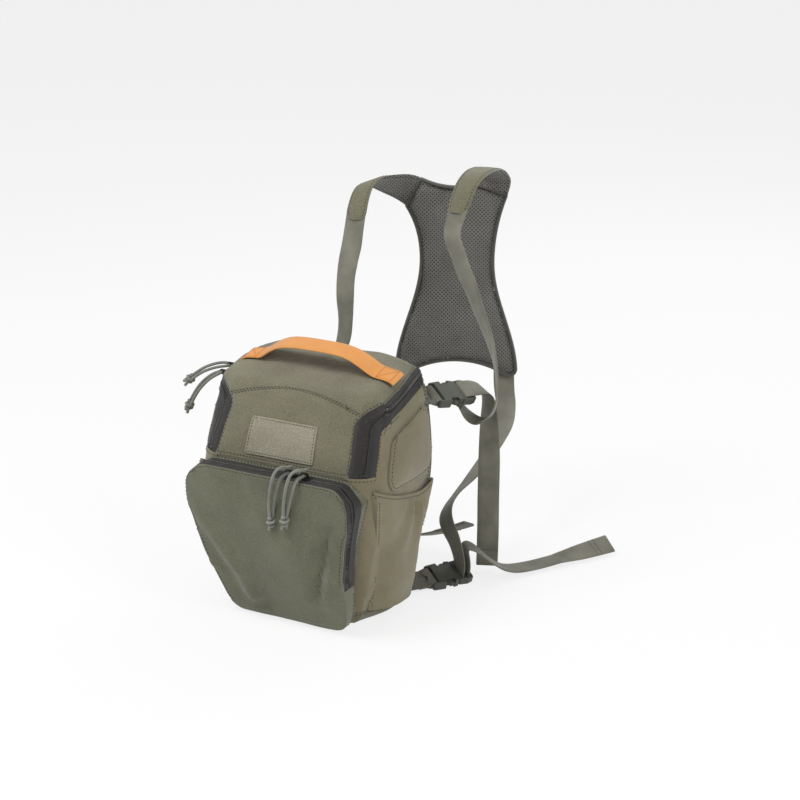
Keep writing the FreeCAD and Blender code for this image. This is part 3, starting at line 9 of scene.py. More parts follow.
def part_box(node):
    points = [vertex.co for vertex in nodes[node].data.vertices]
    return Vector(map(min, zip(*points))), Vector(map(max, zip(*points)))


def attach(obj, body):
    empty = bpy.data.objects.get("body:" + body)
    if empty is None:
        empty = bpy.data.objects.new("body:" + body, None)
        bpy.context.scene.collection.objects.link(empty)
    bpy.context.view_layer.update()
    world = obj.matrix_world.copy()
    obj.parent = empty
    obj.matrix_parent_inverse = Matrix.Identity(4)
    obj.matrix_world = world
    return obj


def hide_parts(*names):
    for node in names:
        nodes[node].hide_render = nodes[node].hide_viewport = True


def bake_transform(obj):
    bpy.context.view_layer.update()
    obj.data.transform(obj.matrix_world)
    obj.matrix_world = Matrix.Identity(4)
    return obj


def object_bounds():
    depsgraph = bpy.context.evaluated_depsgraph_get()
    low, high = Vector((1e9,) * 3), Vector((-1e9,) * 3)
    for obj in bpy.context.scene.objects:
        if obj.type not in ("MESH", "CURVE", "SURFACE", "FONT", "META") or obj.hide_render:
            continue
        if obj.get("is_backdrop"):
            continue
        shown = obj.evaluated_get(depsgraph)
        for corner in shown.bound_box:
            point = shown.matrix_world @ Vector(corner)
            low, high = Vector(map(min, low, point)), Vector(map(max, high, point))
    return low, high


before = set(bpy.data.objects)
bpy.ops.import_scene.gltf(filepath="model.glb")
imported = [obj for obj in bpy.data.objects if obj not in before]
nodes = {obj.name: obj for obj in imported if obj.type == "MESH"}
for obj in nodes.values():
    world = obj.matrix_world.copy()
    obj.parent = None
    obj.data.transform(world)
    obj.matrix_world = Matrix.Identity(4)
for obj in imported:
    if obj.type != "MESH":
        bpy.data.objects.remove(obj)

# Binocular harness pack: a padded chest case with a zipped lid and front pocket, and a back
# yoke on four webbing straps with side-release buckles.  Metres; the front faces -Y, Z is up.
cad_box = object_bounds()

# ---- Camera, floor and light
# A long lens looks at the left front corner from a little above.  The pack stands on a plain pale
# sweep of paper, lit by three large soft lamps and an even sky.
camera = bpy.data.objects.new("camera", bpy.data.cameras.new("camera"))
bpy.context.scene.collection.objects.link(camera)
camera.data.lens = 85
camera.data.sensor_width = 36
camera.location = (1.0284, -1.6525, 0.8644)
camera.rotation_euler = [math.radians(turn) for turn in (72, 0, 29)]
bpy.context.scene.camera = camera
bpy.context.scene.view_settings.view_transform = "Standard"

for lamp_name, power, size, place, aim in (
        ("key", 34, 1.0, (-0.75, -0.9, 2.1), (0, 0, 0.2)),
        ("side", 15, 1.0, (1.9, -0.5, 1.3), (0, 0.1, 0.2)),
        ("back", 12, 1.2, (0.2, 1.8, 1.6), (0, 0.2, 0.2))):
    lamp = bpy.data.objects.new(lamp_name, bpy.data.lights.new(lamp_name, "AREA"))
    bpy.context.scene.collection.objects.link(lamp)
    lamp.data.energy = power
    lamp.data.size = size
    lamp.location = place
    lamp.rotation_euler = (Vector(aim) - Vector(place)).to_track_quat("-Z", "Y").to_euler()


def node(tree, kind, inputs=(), **settings):
    """A shader node with its settings and inputs; an input is a value or another node's socket."""
    made = tree.nodes.new(kind)
    for name, value in settings.items():
        setattr(made, name, value)
    for name, value in dict(inputs).items():
        if isinstance(value, bpy.types.NodeSocket):
            tree.links.new(value, made.inputs[name])
        else:
            made.inputs[name].default_value = value
    return made


world = bpy.data.worlds.new("studio")
bpy.context.scene.world = world
world.use_nodes = True
sky = world.node_tree.nodes["Background"]
sky.inputs["Color"].default_value = (1, 1, 1, 1)
rays = node(world.node_tree, "ShaderNodeLightPath")
sky_strength = node(world.node_tree, "ShaderNodeMix", {0: rays.outputs["Is Camera Ray"], 2: 0.42, 3: 1.0})
world.node_tree.links.new(sky_strength.outputs[0], sky.inputs["Strength"])

bm = bmesh.new()
bmesh.ops.create_grid(bm, x_segments=2, y_segments=2, size=40)
floor_mesh = bpy.data.meshes.new("floor")
bm.to_mesh(floor_mesh)
bm.free()
floor = bpy.data.objects.new("floor", floor_mesh)
bpy.context.scene.collection.objects.link(floor)
floor_finish = bpy.data.materials.new("floor paper")
floor_finish.use_nodes = True
tree = floor_finish.node_tree
paper = tree.nodes["Principled BSDF"]
paper.inputs["Base Color"].default_value = (0.86, 0.86, 0.86, 1)
paper.inputs["Roughness"].default_value = 0.8
rays = node(tree, "ShaderNodeLightPath")
seen = node(tree, "ShaderNodeMath", {0: rays.outputs["Is Camera Ray"], 1: rays.outputs["Is Glossy Ray"]},
            operation="MAXIMUM")
paleness = node(tree, "ShaderNodeMath", {0: seen.outputs[0], 1: 0.8}, operation="MULTIPLY")
white = node(tree, "ShaderNodeEmission")
pale_paper = node(tree, "ShaderNodeMixShader", {0: paleness.outputs[0], 1: paper.outputs[0], 2: white.outputs[0]})
tree.links.new(pale_paper.outputs[0], tree.nodes["Material Output"].inputs["Surface"])
floor_mesh.materials.append(floor_finish)
floor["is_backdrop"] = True


# ---- Pull cords
# Thin ribbed paracord, one length to each slider.  It is doubled through the slider's bridge and
# its two ends are tied together in a knot.
def route_line(points):
    """The smooth line of a cord or strap, as close points."""
    curve = bpy.data.curves.new("route", "CURVE")
    curve.dimensions = "3D"
    curve.resolution_u = 10
    spline = curve.splines.new("NURBS")
    spline.points.add(len(points) - 1)
    for place, point in zip(spline.points, points):
        place.co = (*point, 1)
    spline.order_u = 3
    spline.use_endpoint_u = True
    carrier = bpy.data.objects.new("route", curve)
    mesh = bpy.data.meshes.new_from_object(carrier)
    line = [vertex.co.copy() for vertex in mesh.vertices]
    bpy.data.meshes.remove(mesh)
    bpy.data.objects.remove(carrier)
    bpy.data.curves.remove(curve)
    return line


def ahead_of(line):
    """Direction of travel at each point of a line."""
    last = len(line) - 1
    return [(line[min(i + 1, last)] - line[max(i - 1, 0)]).normalized() for i in range(last + 1)]


def length_of(line):
    """Length along a line."""
    return sum((b - a).length for a, b in zip(line, line[1:]))


def nearest_on(line, place):
    """Number of the line's point that is nearest to a place."""
    return min(range(len(line)), key=lambda i: (line[i] - place).length)


def add_piece(name, bm, material, body=None, stands_for=(), sharp=50):
    """Makes the shaped mesh an object with its finish, and says what it rides on."""
    for face in bm.faces:
        face.smooth = True
    for edge in bm.edges:
        edge.smooth = len(edge.link_faces) == 2 and edge.calc_face_angle(0) < math.radians(sharp)
    mesh = bpy.data.meshes.new(name)
    bm.to_mesh(mesh)
    bm.free()
    mesh.materials.append(material)
    piece = bpy.data.objects.new(name, mesh)
    bpy.context.scene.collection.objects.link(piece)
    if body:
        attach(piece, body)
    if stands_for:
        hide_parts(*stands_for)
    return piece


def swept(bm, line, sides, section):
    """Extrudes a closed outline step by step along a line; its UVs are metres along and round it."""
    chart = bm.loops.layers.uv.verify()
    corners, faces = bm.verts[:], bm.faces[:]
    ahead = ahead_of(line)
    outline_at = section if callable(section) else lambda share: section
    middle = outline_at(0.5)
    count = len(middle)
    round_it = [0.0]
    for k in range(count):
        round_it.append(round_it[-1] + math.dist(middle[k], middle[(k + 1) % count]))
    rings, walls, far = [], [], 0.0
    for i, (place, side) in enumerate(zip(line, sides)):
        lift = side.cross(ahead[i]).normalized()
        outline = [place + side * a + lift * b for a, b in outline_at(i / (len(line) - 1))]
        if not rings:
            rings.append([bm.verts.new(corner) for corner in outline])
            ends = [bm.faces.new(rings[0][::-1])]
            edges = ends[0].edges[:]
            marks = {vertex: (0.0, k) for k, vertex in enumerate(rings[0])}
            continue
        far += (place - line[i - 1]).length
        grown = bmesh.ops.extrude_edge_only(bm, edges=edges)["geom"]
        fresh = {part for part in grown if isinstance(part, bmesh.types.BMVert)}
        ring = [next(edge.other_vert(vertex) for edge in vertex.link_edges if edge.other_vert(vertex) in fresh)
                for vertex in rings[-1]]
        for k, (vertex, corner) in enumerate(zip(ring, outline)):
            vertex.co = corner
            marks[vertex] = (far, k)
        for k, vertex in enumerate(ring):
            follow = ring[(k + 1) % count]
            wall = next(face for face in vertex.link_faces if follow in face.verts)
            walls.append(wall)
            for loop in wall.loops:
                along, number = marks[loop.vert]
                loop[chart].uv = (along, round_it[count if k == count - 1 and number == 0 else number])
        edges = [bm.edges.get((vertex, ring[(k + 1) % count])) for k, vertex in enumerate(ring)]
        rings.append(ring)
    ends.append(bm.faces.new(rings[-1]))
    bmesh.ops.recalc_face_normals(bm, faces=walls + ends)
    # The extrusion leaves its pieces in any order, so they are put in the order of the line.
    for parts, order in ((bm.verts, corners + sum(rings, [])), (bm.faces, faces + walls + ends)):
        number_of = {part: number for number, part in enumerate(order)}
        parts.sort(key=number_of.get)


def untwisted(line, first):
    """Width directions carried along a line without twist."""
    ahead = ahead_of(line)
    side = (first - ahead[0] * first.dot(ahead[0])).normalized()
    sides = [side]
    for before, after in zip(ahead, ahead[1:]):
        side = before.rotation_difference(after) @ side
        sides.append(side.normalized())
    return sides


def finish_of(name, colour, rough, sheen=0.0):
    """A material with its plain values set, ready for its pattern."""
    material = bpy.data.materials.new(name)
    material.use_nodes = True
    shader = material.node_tree.nodes["Principled BSDF"]
    shader.inputs["Base Color"].default_value = (*colour, 1)
    shader.inputs["Roughness"].default_value = rough
    shader.inputs["Sheen Weight"].default_value = sheen
    shader.inputs["Sheen Roughness"].default_value = 0.5
    shader.inputs["Specular IOR Level"].default_value = 0.3
    return material, material.node_tree, shader


def in_place(tree):
    """Places in metres, for a pattern that runs through the whole piece."""
    return node(tree, "ShaderNodeTexCoord").outputs["Object"]


def clouds_of(tree, where, scale, detail, **more):
    """A cloudy pattern."""
    return node(tree, "ShaderNodeTexNoise",
                {"Vector": where, "Scale": scale, "Detail": detail, **more}).outputs["Fac"]


def rows_of(tree, where, scale, way, distortion=0.0, detail=2.0, fineness=1.0):
    """Even rows of yarn across one direction."""
    return node(tree, "ShaderNodeTexWave", {"Vector": where, "Scale": scale, "Distortion": distortion,
                "Detail": detail, "Detail Scale": fineness}, wave_type="BANDS", bands_direction=way).outputs["Fac"]


def sum_of(tree, operation, *values):
    """One step of arithmetic on patterns and numbers."""
    return node(tree, "ShaderNodeMath", dict(enumerate(values)), operation=operation).outputs[0]


def two_tone(tree, factor, dark, light, low=0.0, high=1.0):
    """Colour between two tones by a pattern."""
    ramp = node(tree, "ShaderNodeValToRGB", {"Fac": factor})
    for stop, colour, at in zip(ramp.color_ramp.elements, (dark, light), (low, high)):
        stop.color = (*colour, 1)
        stop.position = at
    return ramp.outputs["Color"]


def wear(tree, shader, factor, low, high):
    """Roughness between two values by a pattern."""
    worn = node(tree, "ShaderNodeMapRange", {"Value": factor, "To Min": low, "To Max": high})
    tree.links.new(worn.outputs[0], shader.inputs["Roughness"])


def relief(tree, shader, height, distance, strength, over=None):
    """Raises the surface by a pattern, over an earlier relief if there is one."""
    inputs = {"Height": height, "Distance": distance, "Strength": strength}
    bump = node(tree, "ShaderNodeBump", {**inputs, "Normal": over} if over else inputs)
    tree.links.new(bump.outputs["Normal"], shader.inputs["Normal"])
    return bump.outputs["Normal"]


def webbing_finish(name, dark, light, rib, row, height, rough=0.7, gloss=0.35):
    """Woven tape: ribs along it, rows of yarn across, by its own UVs in metres."""
    material, tree, shader = finish_of(name, light, rough, 0.25)
    on_tape = node(tree, "ShaderNodeUVMap", uv_map="UVMap").outputs[0]
    weave = sum_of(tree, "MULTIPLY", rows_of(tree, on_tape, 0.314 / rib, "Y", 0.6, 2.0, 2.0),
                   rows_of(tree, on_tape, 0.314 / row, "X", 0.8, 1.0))
    patches = clouds_of(tree, in_place(tree), 45.0, 5.0)
    mixed = sum_of(tree, "MULTIPLY_ADD", patches, 0.5, weave)
    tone = two_tone(tree, sum_of(tree, "MULTIPLY", mixed, gloss * 1.5), dark, light)
    tree.links.new(tone, shader.inputs["Base Color"])
    relief(tree, shader, weave, height, 0.9)
    wear(tree, shader, patches, rough - 0.1, rough + 0.15)
    return material


cord_finish = webbing_finish("ribbed paracord", (0.15, 0.155, 0.13), (0.48, 0.485, 0.43), rib=0.0012, row=0.0015,
                             height=0.0003, gloss=0.5)
cord_radius = 0.0017
round_section = [(cord_radius * math.cos(math.tau * k / 10), cord_radius * math.sin(math.tau * k / 10))
                 for k in range(10)]
pull_routes = {
    "main_pull_cord_front": ("main_pull_front", 4, [
        (-0.163, 0.0086, 0.199), (-0.155, 0.008, 0.213), (-0.146, 0.0096, 0.225), (-0.136, 0.0124, 0.2346),
        (-0.1245, 0.014, 0.2411), (-0.1245, 0.02, 0.2426), (-0.138, 0.0194, 0.2374), (-0.149, 0.0156, 0.2284),
        (-0.1584, 0.012, 0.2162), (-0.166, 0.0114, 0.202)]),
    "main_pull_cord_rear": ("main_pull_rear", 4, [
        (-0.17, 0.022, 0.2246), (-0.159, 0.023, 0.2334), (-0.147, 0.025, 0.2394), (-0.136, 0.0284, 0.243),
        (-0.1245, 0.03, 0.245), (-0.1245, 0.036, 0.2465), (-0.137, 0.036, 0.246), (-0.149, 0.0314, 0.2428),
        (-0.161, 0.027, 0.2366), (-0.1716, 0.0244, 0.2278)]),
    "pocket_pull_cord_left": ("pocket_pull_left", 6, [
        (0.012, -0.0956, 0.13), (0.0136, -0.0958, 0.145), (0.0172, -0.0962, 0.159), (0.0204, -0.097, 0.171),
        (0.022, -0.0926, 0.1784), (0.022, -0.0836, 0.178), (0.022, -0.0713, 0.1772), (0.022, -0.0709, 0.1834),
        (0.022, -0.0801, 0.184), (0.0204, -0.0904, 0.188), (0.0176, -0.099, 0.185), (0.015, -0.1022, 0.173),
        (0.012, -0.1012, 0.159), (0.0098, -0.1, 0.145), (0.0104, -0.0988, 0.1304)]),
    "pocket_pull_cord_right": ("pocket_pull_right", 6, [
        (0.029, -0.0956, 0.134), (0.032, -0.096, 0.147), (0.036, -0.0964, 0.16), (0.0394, -0.097, 0.1714),
        (0.041, -0.0926, 0.1784), (0.041, -0.0836, 0.178), (0.041, -0.0713, 0.1772), (0.041, -0.0709, 0.1834),
        (0.041, -0.0801, 0.184), (0.0396, -0.0904, 0.188), (0.0366, -0.099, 0.1852), (0.0338, -0.1024, 0.1734),
        (0.0306, -0.1014, 0.16), (0.028, -0.1, 0.147), (0.0274, -0.0988, 0.1344)]),
}
for name, (body, turn, route) in pull_routes.items():
    line = route_line(route)
    at_eye = nearest_on(line, (Vector(route[turn]) + Vector(route[turn + 1])) / 2)
    # The knot: the cord wrapped round itself, wider in the middle, with two short stubs past it.
    ends = (Vector(route[0]) + Vector(route[-1])) / 2
    inward = (Vector(route[1]) - Vector(route[0]) + Vector(route[-2]) - Vector(route[-1])).normalized()
    across = Vector(route[-1]) - Vector(route[0])
    across = (across - inward * across.dot(inward)).normalized()
    other = inward.cross(across)
    knot_start, turn_pitch, turn_step = 0.008, 0.00065, 0.85
    turns = [ends - inward * (knot_start - turn_pitch * k)
             + (across * math.cos(turn_step * k) + other * math.sin(turn_step * k)) * (0.0044 if 4 < k < 13 else 0.003)
             for k in range(17)]
    stubs = [[ends + inward * 0.003 + across * sign * 0.0014, ends - inward * 0.002 + across * sign * 0.0018,
              ends - inward * 0.007 + across * sign * 0.0016, ends - inward * 0.0122 + across * sign * 0.0032]
             for sign in (1, -1)]
    bm = bmesh.new()
    for wound in [turns] + stubs:
        strand = route_line(wound)
        swept(bm, strand, untwisted(strand, Vector((0.31, 0.52, 0.8))), round_section)
    knot = add_piece(name + "_knot", bm, cord_finish, body)
    for label, strand in (("strand_a", line[at_eye::-1]), ("strand_b", line[at_eye:])):
        bm = bmesh.new()
        swept(bm, strand, untwisted(strand, Vector((0.3, 0.2, 0.9))), round_section)
        piece = add_piece(f"{name}_{label}", bm, cord_finish, body, (name,))


# ---- Webbing tails
# The free ends of the four adjustable straps: 25 mm woven nylon tape that comes out of each clip
# and hangs loose.  Its tip is folded back on itself and sewn down by two rows of stitches.
def facing_sides(line, route, facing):
    """Width directions along a line, turned evenly from each given facing to the next."""
    ahead = ahead_of(line)
    marks = sorted(facing)
    places = [nearest_on(line, Vector(route[number])) for number in marks]
    places[0], places[-1] = 0, len(line) - 1
    sides = []
    for k in range(len(marks) - 1):
        first, last = places[k], places[k + 1]
        carried = untwisted(line[first:last + 1], Vector(facing[marks[k]]))
        wanted = Vector(facing[marks[k + 1]])
        wanted = (wanted - ahead[last] * wanted.dot(ahead[last])).normalized()
        twist = carried[-1].angle(wanted)
        if carried[-1].cross(wanted).dot(ahead[last]) < 0:
            twist = -twist
        for step in range(last - first + (k == len(marks) - 2)):
            share = step / (last - first)
            sides.append(Quaternion(ahead[first + step], twist * share) @ carried[step])
    return sides


def band_section(width, thick):
    """Outline of a woven tape: flat faces and rounded selvedges."""
    half, edge = width / 2, thick / 2
    across = [half - edge, half / 2, 0, -half / 2, edge - half]
    top = [(a, edge) for a in across]
    low = [(a, -edge) for a in reversed(across)]
    return top + [(-half + edge * 0.2, edge * 0.55), (-half, 0), (-half + edge * 0.2, -edge * 0.55)] + low + [
        (half - edge * 0.2, -edge * 0.55), (half, 0), (half - edge * 0.2, edge * 0.55)]


web_width, web_thick = 0.025, 0.0016
web_finish = webbing_finish("woven webbing", (0.075, 0.073, 0.055), (0.5, 0.485, 0.39), rib=0.0016, row=0.0023,
                            height=0.0004, gloss=0.62)
upper_side = Vector((-0.7851, 0.4173, 0.4577))
lower_side = Vector((-0.774, 0.5129, 0.3714))


def left_of(point):
    """The mirrored point on the left."""
    return Vector((-point[0], point[1], point[2]))


upper_tail_route = [
    (0.1288, 0.1355, 0.2287), (0.1321, 0.1427, 0.2279), (0.1366, 0.156, 0.222), (0.1376, 0.163, 0.204),
    (0.137, 0.164, 0.174), (0.138, 0.163, 0.134), (0.1366, 0.1646, 0.09), (0.137, 0.1648, 0.046),
    (0.1354, 0.1662, 0.006)]
upper_tail_facing = {0: upper_side, 3: Vector((-0.9, 0.4, 0)), 5: Vector((-0.95, -0.3, 0)), 8: Vector((-0.9, -0.42, 0))}
tail_routes = {
    "upper_right_tail": ("clip_upper_right", upper_tail_route, upper_tail_facing),
    "upper_left_tail": ("clip_upper_left", [left_of(p) for p in upper_tail_route],
                        {k: left_of(v) for k, v in upper_tail_facing.items()}),
    "lower_right_tail": ("clip_lower_right", [
        (0.1279, 0.1243, 0.0181), (0.1303, 0.1228, 0.0253), (0.127, 0.123, 0.045), (0.137, 0.13, 0.042),
        (0.15, 0.141, 0.025), (0.163, 0.158, 0.009), (0.179, 0.187, 0.005), (0.199, 0.222, 0.006),
        (0.22, 0.252, 0.009), (0.24, 0.282, 0.012)],
        {0: lower_side, 5: Vector((-0.7, 0.65, 0)), 7: Vector((-0.8, 0.5, 0)), 9: Vector((-0.8, 0.3, 0.5))}),
    "lower_left_tail": ("clip_lower_left", [
        (-0.1279, 0.1243, 0.0181), (-0.1303, 0.1228, 0.0253), (-0.124, 0.124, 0.043), (-0.108, 0.137, 0.041),
        (-0.079, 0.151, 0.033), (-0.04, 0.161, 0.024), (0.0, 0.166, 0.02), (0.038, 0.169, 0.022),
        (0.073, 0.173, 0.032), (0.106, 0.177, 0.048)],
        {0: left_of(lower_side), 5: Vector((0.3, 0.9, -0.2)), 9: Vector((0.2, 0.9, -0.4))}),
}


def fabric_finish(name, dark, light, rough=0.82, grain=1500.0, height=0.00022, sheen=0.3, crumple=0.0012):
    """Plain-woven nylon: crossed yarns, faint colour patches, small crumples and rubbed high spots."""
    material, tree, shader = finish_of(name, light, rough, sheen)
    where = in_place(tree)
    turned = node(tree, "ShaderNodeMapping", {"Vector": where, "Rotation": (0.0, 0.0, 0.7854)}).outputs[0]
    yarns = sum_of(tree, "ADD", *(rows_of(tree, turned, grain * 0.22, way, 1.4, 2.0, 1.5) for way in "XZ"))
    slubs = clouds_of(tree, where, grain * 0.45, 2.0)
    patches = clouds_of(tree, where, 16.0, 6.0, Roughness=0.62)
    cloudy = sum_of(tree, "MULTIPLY_ADD", patches, 0.45, sum_of(tree, "MULTIPLY", slubs, 0.55))
    tree.links.new(two_tone(tree, cloudy, dark, light, 0.3, 0.7), shader.inputs["Base Color"])
    crumples = clouds_of(tree, where, 55.0, 4.0, Roughness=0.55, Distortion=0.6)
    soft = relief(tree, shader, crumples, crumple, 0.55)
    relief(tree, shader, sum_of(tree, "ADD", yarns, slubs), height, 0.7, soft)
    wear(tree, shader, patches, rough - 0.12, rough + 0.12)
    return material


def stitched(name, runs, body, material, slot, pitch=0.0042, length=0.0027, thick=0.0006, wide=None, keep=None):
    """A row of lock stitches: small rounded bars of thread, part sunk in the cloth."""
    bm = bmesh.new()
    for run in runs:
        due = 0.0
        for (place, normal, along), (after, _, _) in zip(run, run[1:]):
            step = (after - place).length
            if step > 0.02:
                due = 0.0
                continue
            while due < step:
                at = place.lerp(after, due / step if step else 0)
                due += pitch
                if keep and not keep(at):
                    continue
                ahead = (after - place).normalized() if step > 1e-6 else along
                side = normal.cross(ahead).normalized()
                bar = Matrix((ahead * length / 2, side * (wide or thick), normal * thick)).transposed().to_4x4()
                bar.translation = at + normal * 0.00015
                bmesh.ops.create_icosphere(bm, subdivisions=1, radius=1.0, matrix=bar)
            due -= step
    if not bm.verts:
        bm.free()
        return None
    return add_piece(name, bm, material, body)


thread = fabric_finish("sewing thread", (0.022, 0.021, 0.015), (0.055, 0.052, 0.038), rough=0.6, grain=3000.0,
                       height=0.00005, sheen=0.2)
hem_length = 0.024
for name, (body, route, facing) in tail_routes.items():
    line = route_line(route)
    sides = facing_sides(line, route, facing)
    run = length_of(line)
    bm = bmesh.new()
    swept(bm, line, sides,
          lambda share: band_section(web_width, web_thick * (2 if (1 - share) * run < hem_length else 1)))
    tail = add_piece(name + "_free", bm, web_finish, body, (name,))
    ahead = ahead_of(line)
    to_tip = [length_of(line[i:]) for i in range(len(line))]
    rows = []
    for from_tip in (0.018, 0.021):
        i = min(range(len(line)), key=lambda k: abs(to_tip[k] - from_tip))
        lift = sides[i].cross(ahead[i]).normalized()
        for out in (lift, -lift):
            rows.append([(line[i] + sides[i] * (0.0115 - 0.001 * k) + out * web_thick, out, sides[i])
                         for k in range(24)])
    stitched(name + "_hem_stitches", rows, body, thread, "webbing", pitch=0.0028, length=0.0019, thick=0.0004)


# ---- Case
# The binoculars' box: five panels of textured nylon, the base, back, front wall and two sides, sewn
# together at their edges over sheets of foam.  The sides are of a smoother, slightly stretchy cloth.
fold_height = 0.176
lean_foot, brow = Vector((-0.06, fold_height)), Vector((-0.026, 0.252))
lean_in, crown_in = Vector((0.9128, -0.4084)), Vector((0.2363, -0.9717))


def case_out(point):
    """Away from the middle of the case."""
    core = Vector((min(max(point.x, -0.055), 0.055), min(max(point.y, -0.01), 0.04), min(max(point.z, 0.07), 0.19)))
    return (point - core).normalized()


def ease(value, low, high):
    """A smooth step from 0 to 1 between two limits."""
    share = min(max((value - low) / (high - low), 0.0), 1.0)
    return share * share * (3 - 2 * share)


def zip_gather(point):
    """Draws the cloth on both sides in over the main zip's tapes, so that a narrow band of them shows."""
    y, z = point.y, point.z
    lean_depth, crown_depth, turn_radius = 0.009, 0.02, 0.026
    from_lean = (Vector((y, z)) - lean_foot).dot(lean_in) - lean_depth
    from_crown = (Vector((y, z)) - brow).dot(crown_in) - crown_depth
    apart, inward = min((from_lean, lean_in), (from_crown, crown_in), key=lambda pair: pair[0])
    turn_hub = lean_foot + Vector((0.4084, 0.9128)) * 0.06 + lean_in * (lean_depth + turn_radius)
    to_hub = turn_hub - Vector((y, z))
    if to_hub.length > 1e-5 and to_hub.normalized().dot((lean_in + crown_in).normalized()) > 0.899:
        apart, inward = turn_radius - to_hub.length, to_hub.normalized()
    size = abs(apart)
    tape_reach, cloth_reach = 0.0142, 0.034
    if size > cloth_reach:
        return point
    drawn = 0.64 * size if size < tape_reach else 0.0091 + (size - tape_reach) * 1.2576
    hold = max(ease(abs(point.x), 0.085, 0.103), ease(y, 0.066, 0.083)) * ease(z, 0.166, 0.184)
    if point.x < 0:
        hold *= 1 - ease(y, -0.024, -0.006) * (1 - ease(y, 0.05, 0.068))
    step = inward * (math.copysign(drawn, apart) - apart) * hold
    return point + Vector((0, step.x, step.y))


def case_slump(point):
    """How the sewn case gives: drawn-in lower corners, a rounded foot, a narrower lid and soft rear shoulders."""
    point = zip_gather(point)
    hand = 1 if point.x > 0 else -1
    side = ease(abs(point.x), 0.045, 0.105)
    low = 1 - ease(point.z, 0.0, 0.165)
    front = 1 - ease(point.y, -0.062, 0.01)
    rear = ease(point.y, 0.02, 0.085)
    to_crown = brow.y + 0.2432 * (point.y - brow.x) - point.z
    top = 1 - ease(to_crown, 0.0, 0.045)
    foot = 1 - ease(point.z, 0.0, 0.04)
    border = max(ease(abs(point.x), 0.065, 0.1), 1 - ease(point.y, -0.058, -0.03), ease(point.y, 0.062, 0.085))
    rise = ease(point.z, 0.17, 0.27)
    behind = point.y - lean_foot.x - (brow.x - lean_foot.x) * (point.z - fold_height) / (brow.y - fold_height)
    if hand > 0:
        narrow = 0.075
    else:
        narrow = 0.13 * (1 - ease(behind, 0.003, 0.032)) * (1 - ease(point.y, -0.044, -0.004))
        narrow += 0.075 * ease(point.y, 0.045, 0.08)
    return point + Vector((-point.x * narrow * rise
                           - hand * side * (0.017 * low * front + 0.02 * low * rear + 0.01 * top * rear),
                           0.012 * side * low * front - 0.01 * side * low * rear,
                           0.003 * foot * border - 0.005 * side * top * rear))


def fine_copy(node_name, step=0.006, slump=None):
    """A panel's cut shape, merged and divided finely enough to bend."""
    bm = bmesh.new()
    bm.from_mesh(nodes[node_name].data)
    bmesh.ops.remove_doubles(bm, verts=bm.verts, dist=1e-5)
    bmesh.ops.dissolve_limit(bm, angle_limit=math.radians(0.5), verts=bm.verts, edges=bm.edges)
    low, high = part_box(node_name)
    off_corners = 0.013
    for axis in range(3):
        normal = Vector([axis == k for k in range(3)])
        count = int((high[axis] - low[axis]) / step)
        for k in range(1, count):
            cut = low[axis] + (high[axis] - low[axis]) * (k + off_corners) / count
            bmesh.ops.bisect_plane(bm, geom=bm.verts[:] + bm.edges[:] + bm.faces[:], dist=1e-6,
                                   plane_co=normal * cut, plane_no=normal)
    bmesh.ops.triangulate(bm, faces=[face for face in bm.faces if len(face.verts) > 4])
    if slump:
        for vertex in bm.verts:
            vertex.co = slump(vertex.co)
        bm.normal_update()
    return bm


def outer_faces(bm, facing, least=0.5):
    """The faces that look outward."""
    return {face for face in bm.faces if face.normal.dot(facing(face.calc_center_median())) > least}


def held_edge(facing, *pieces, keep=None):
    """Where the edges of one or more pieces run, to hold them while their middles swell."""
    rim = []
    for bm in pieces:
        outer = outer_faces(bm, facing)
        rim += [vertex.co.copy() for vertex in bm.verts if len({face in outer for face in vertex.link_faces}) == 2]
    if keep:
        rim = [place for place in rim if keep(place)]
    tree = KDTree(len(rim))
    for number, place in enumerate(rim):
        tree.insert(place, number)
    tree.balance()
    return tree


def swell(point, tree, amount, reach, fold=0.0, pitch=26.0):
    """How far cloth stands out from its cut shape: a crowned middle with soft folds."""
    held = min(tree.find(point)[2] / reach, 1.0)
    crown = math.sin(held * math.pi / 2) ** 1.3
    creases = noise.noise(point * pitch) + 0.5 * noise.noise(point * pitch * 2.3 + Vector((3, 1, 7)))
    seam = max(0.0, 1 - held * reach / 0.004) if abs(point.z - fold_height) > 0.004 else 0.0
    return amount * crown + fold * creases * min(held * 2.0, 1.0) - 0.0008 * seam


def hem_runs(bm, facing, inset):
    """Lines a little inside the edges of a piece's outer face, each a list of place, normal and direction."""
    outer = outer_faces(bm, facing)
    cloth = BVHTree.FromBMesh(bm)
    near = {}
    for edge in bm.edges:
        if sum(face in outer for face in edge.link_faces) == 1:
            for vertex in edge.verts:
                near.setdefault(vertex, []).append(edge)
    runs, used = [], set()
    for start in near:
        for first in near[start]:
            if first in used:
                continue
            run, vertex, edge = [], start, first
            while edge and edge not in used:
                used.add(edge)
                after = edge.other_vert(vertex)
                face = next(face for face in edge.link_faces if face in outer)
                along = (after.co - vertex.co).normalized()
                inner = face.normal.cross(along)
                middle = (after.co + vertex.co) / 2
                if inner.dot(face.calc_center_median() - middle) < 0:
                    inner = -inner
                place, normal, _, _ = cloth.find_nearest(middle + inner * inset + face.normal * 0.0012)
                run.append((place, normal, along))
                vertex = after
                edge = next((other for other in near[vertex] if other not in used), None)
            if sum((b[0] - a[0]).length for a, b in zip(run, run[1:])) > 0.05:
                runs.append(run)
    return runs


olive = fabric_finish("olive shell nylon", (0.102, 0.098, 0.062), (0.228, 0.211, 0.139))
khaki = fabric_finish("khaki stretch nylon", (0.138, 0.121, 0.069), (0.278, 0.243, 0.148), rough=0.72, grain=2600.0,
                      height=0.00012, sheen=0.35)
lining = fabric_finish("grey lining", (0.12, 0.12, 0.11), (0.24, 0.24, 0.22), rough=0.6, grain=2600.0,
                       height=0.00008, sheen=0.2)


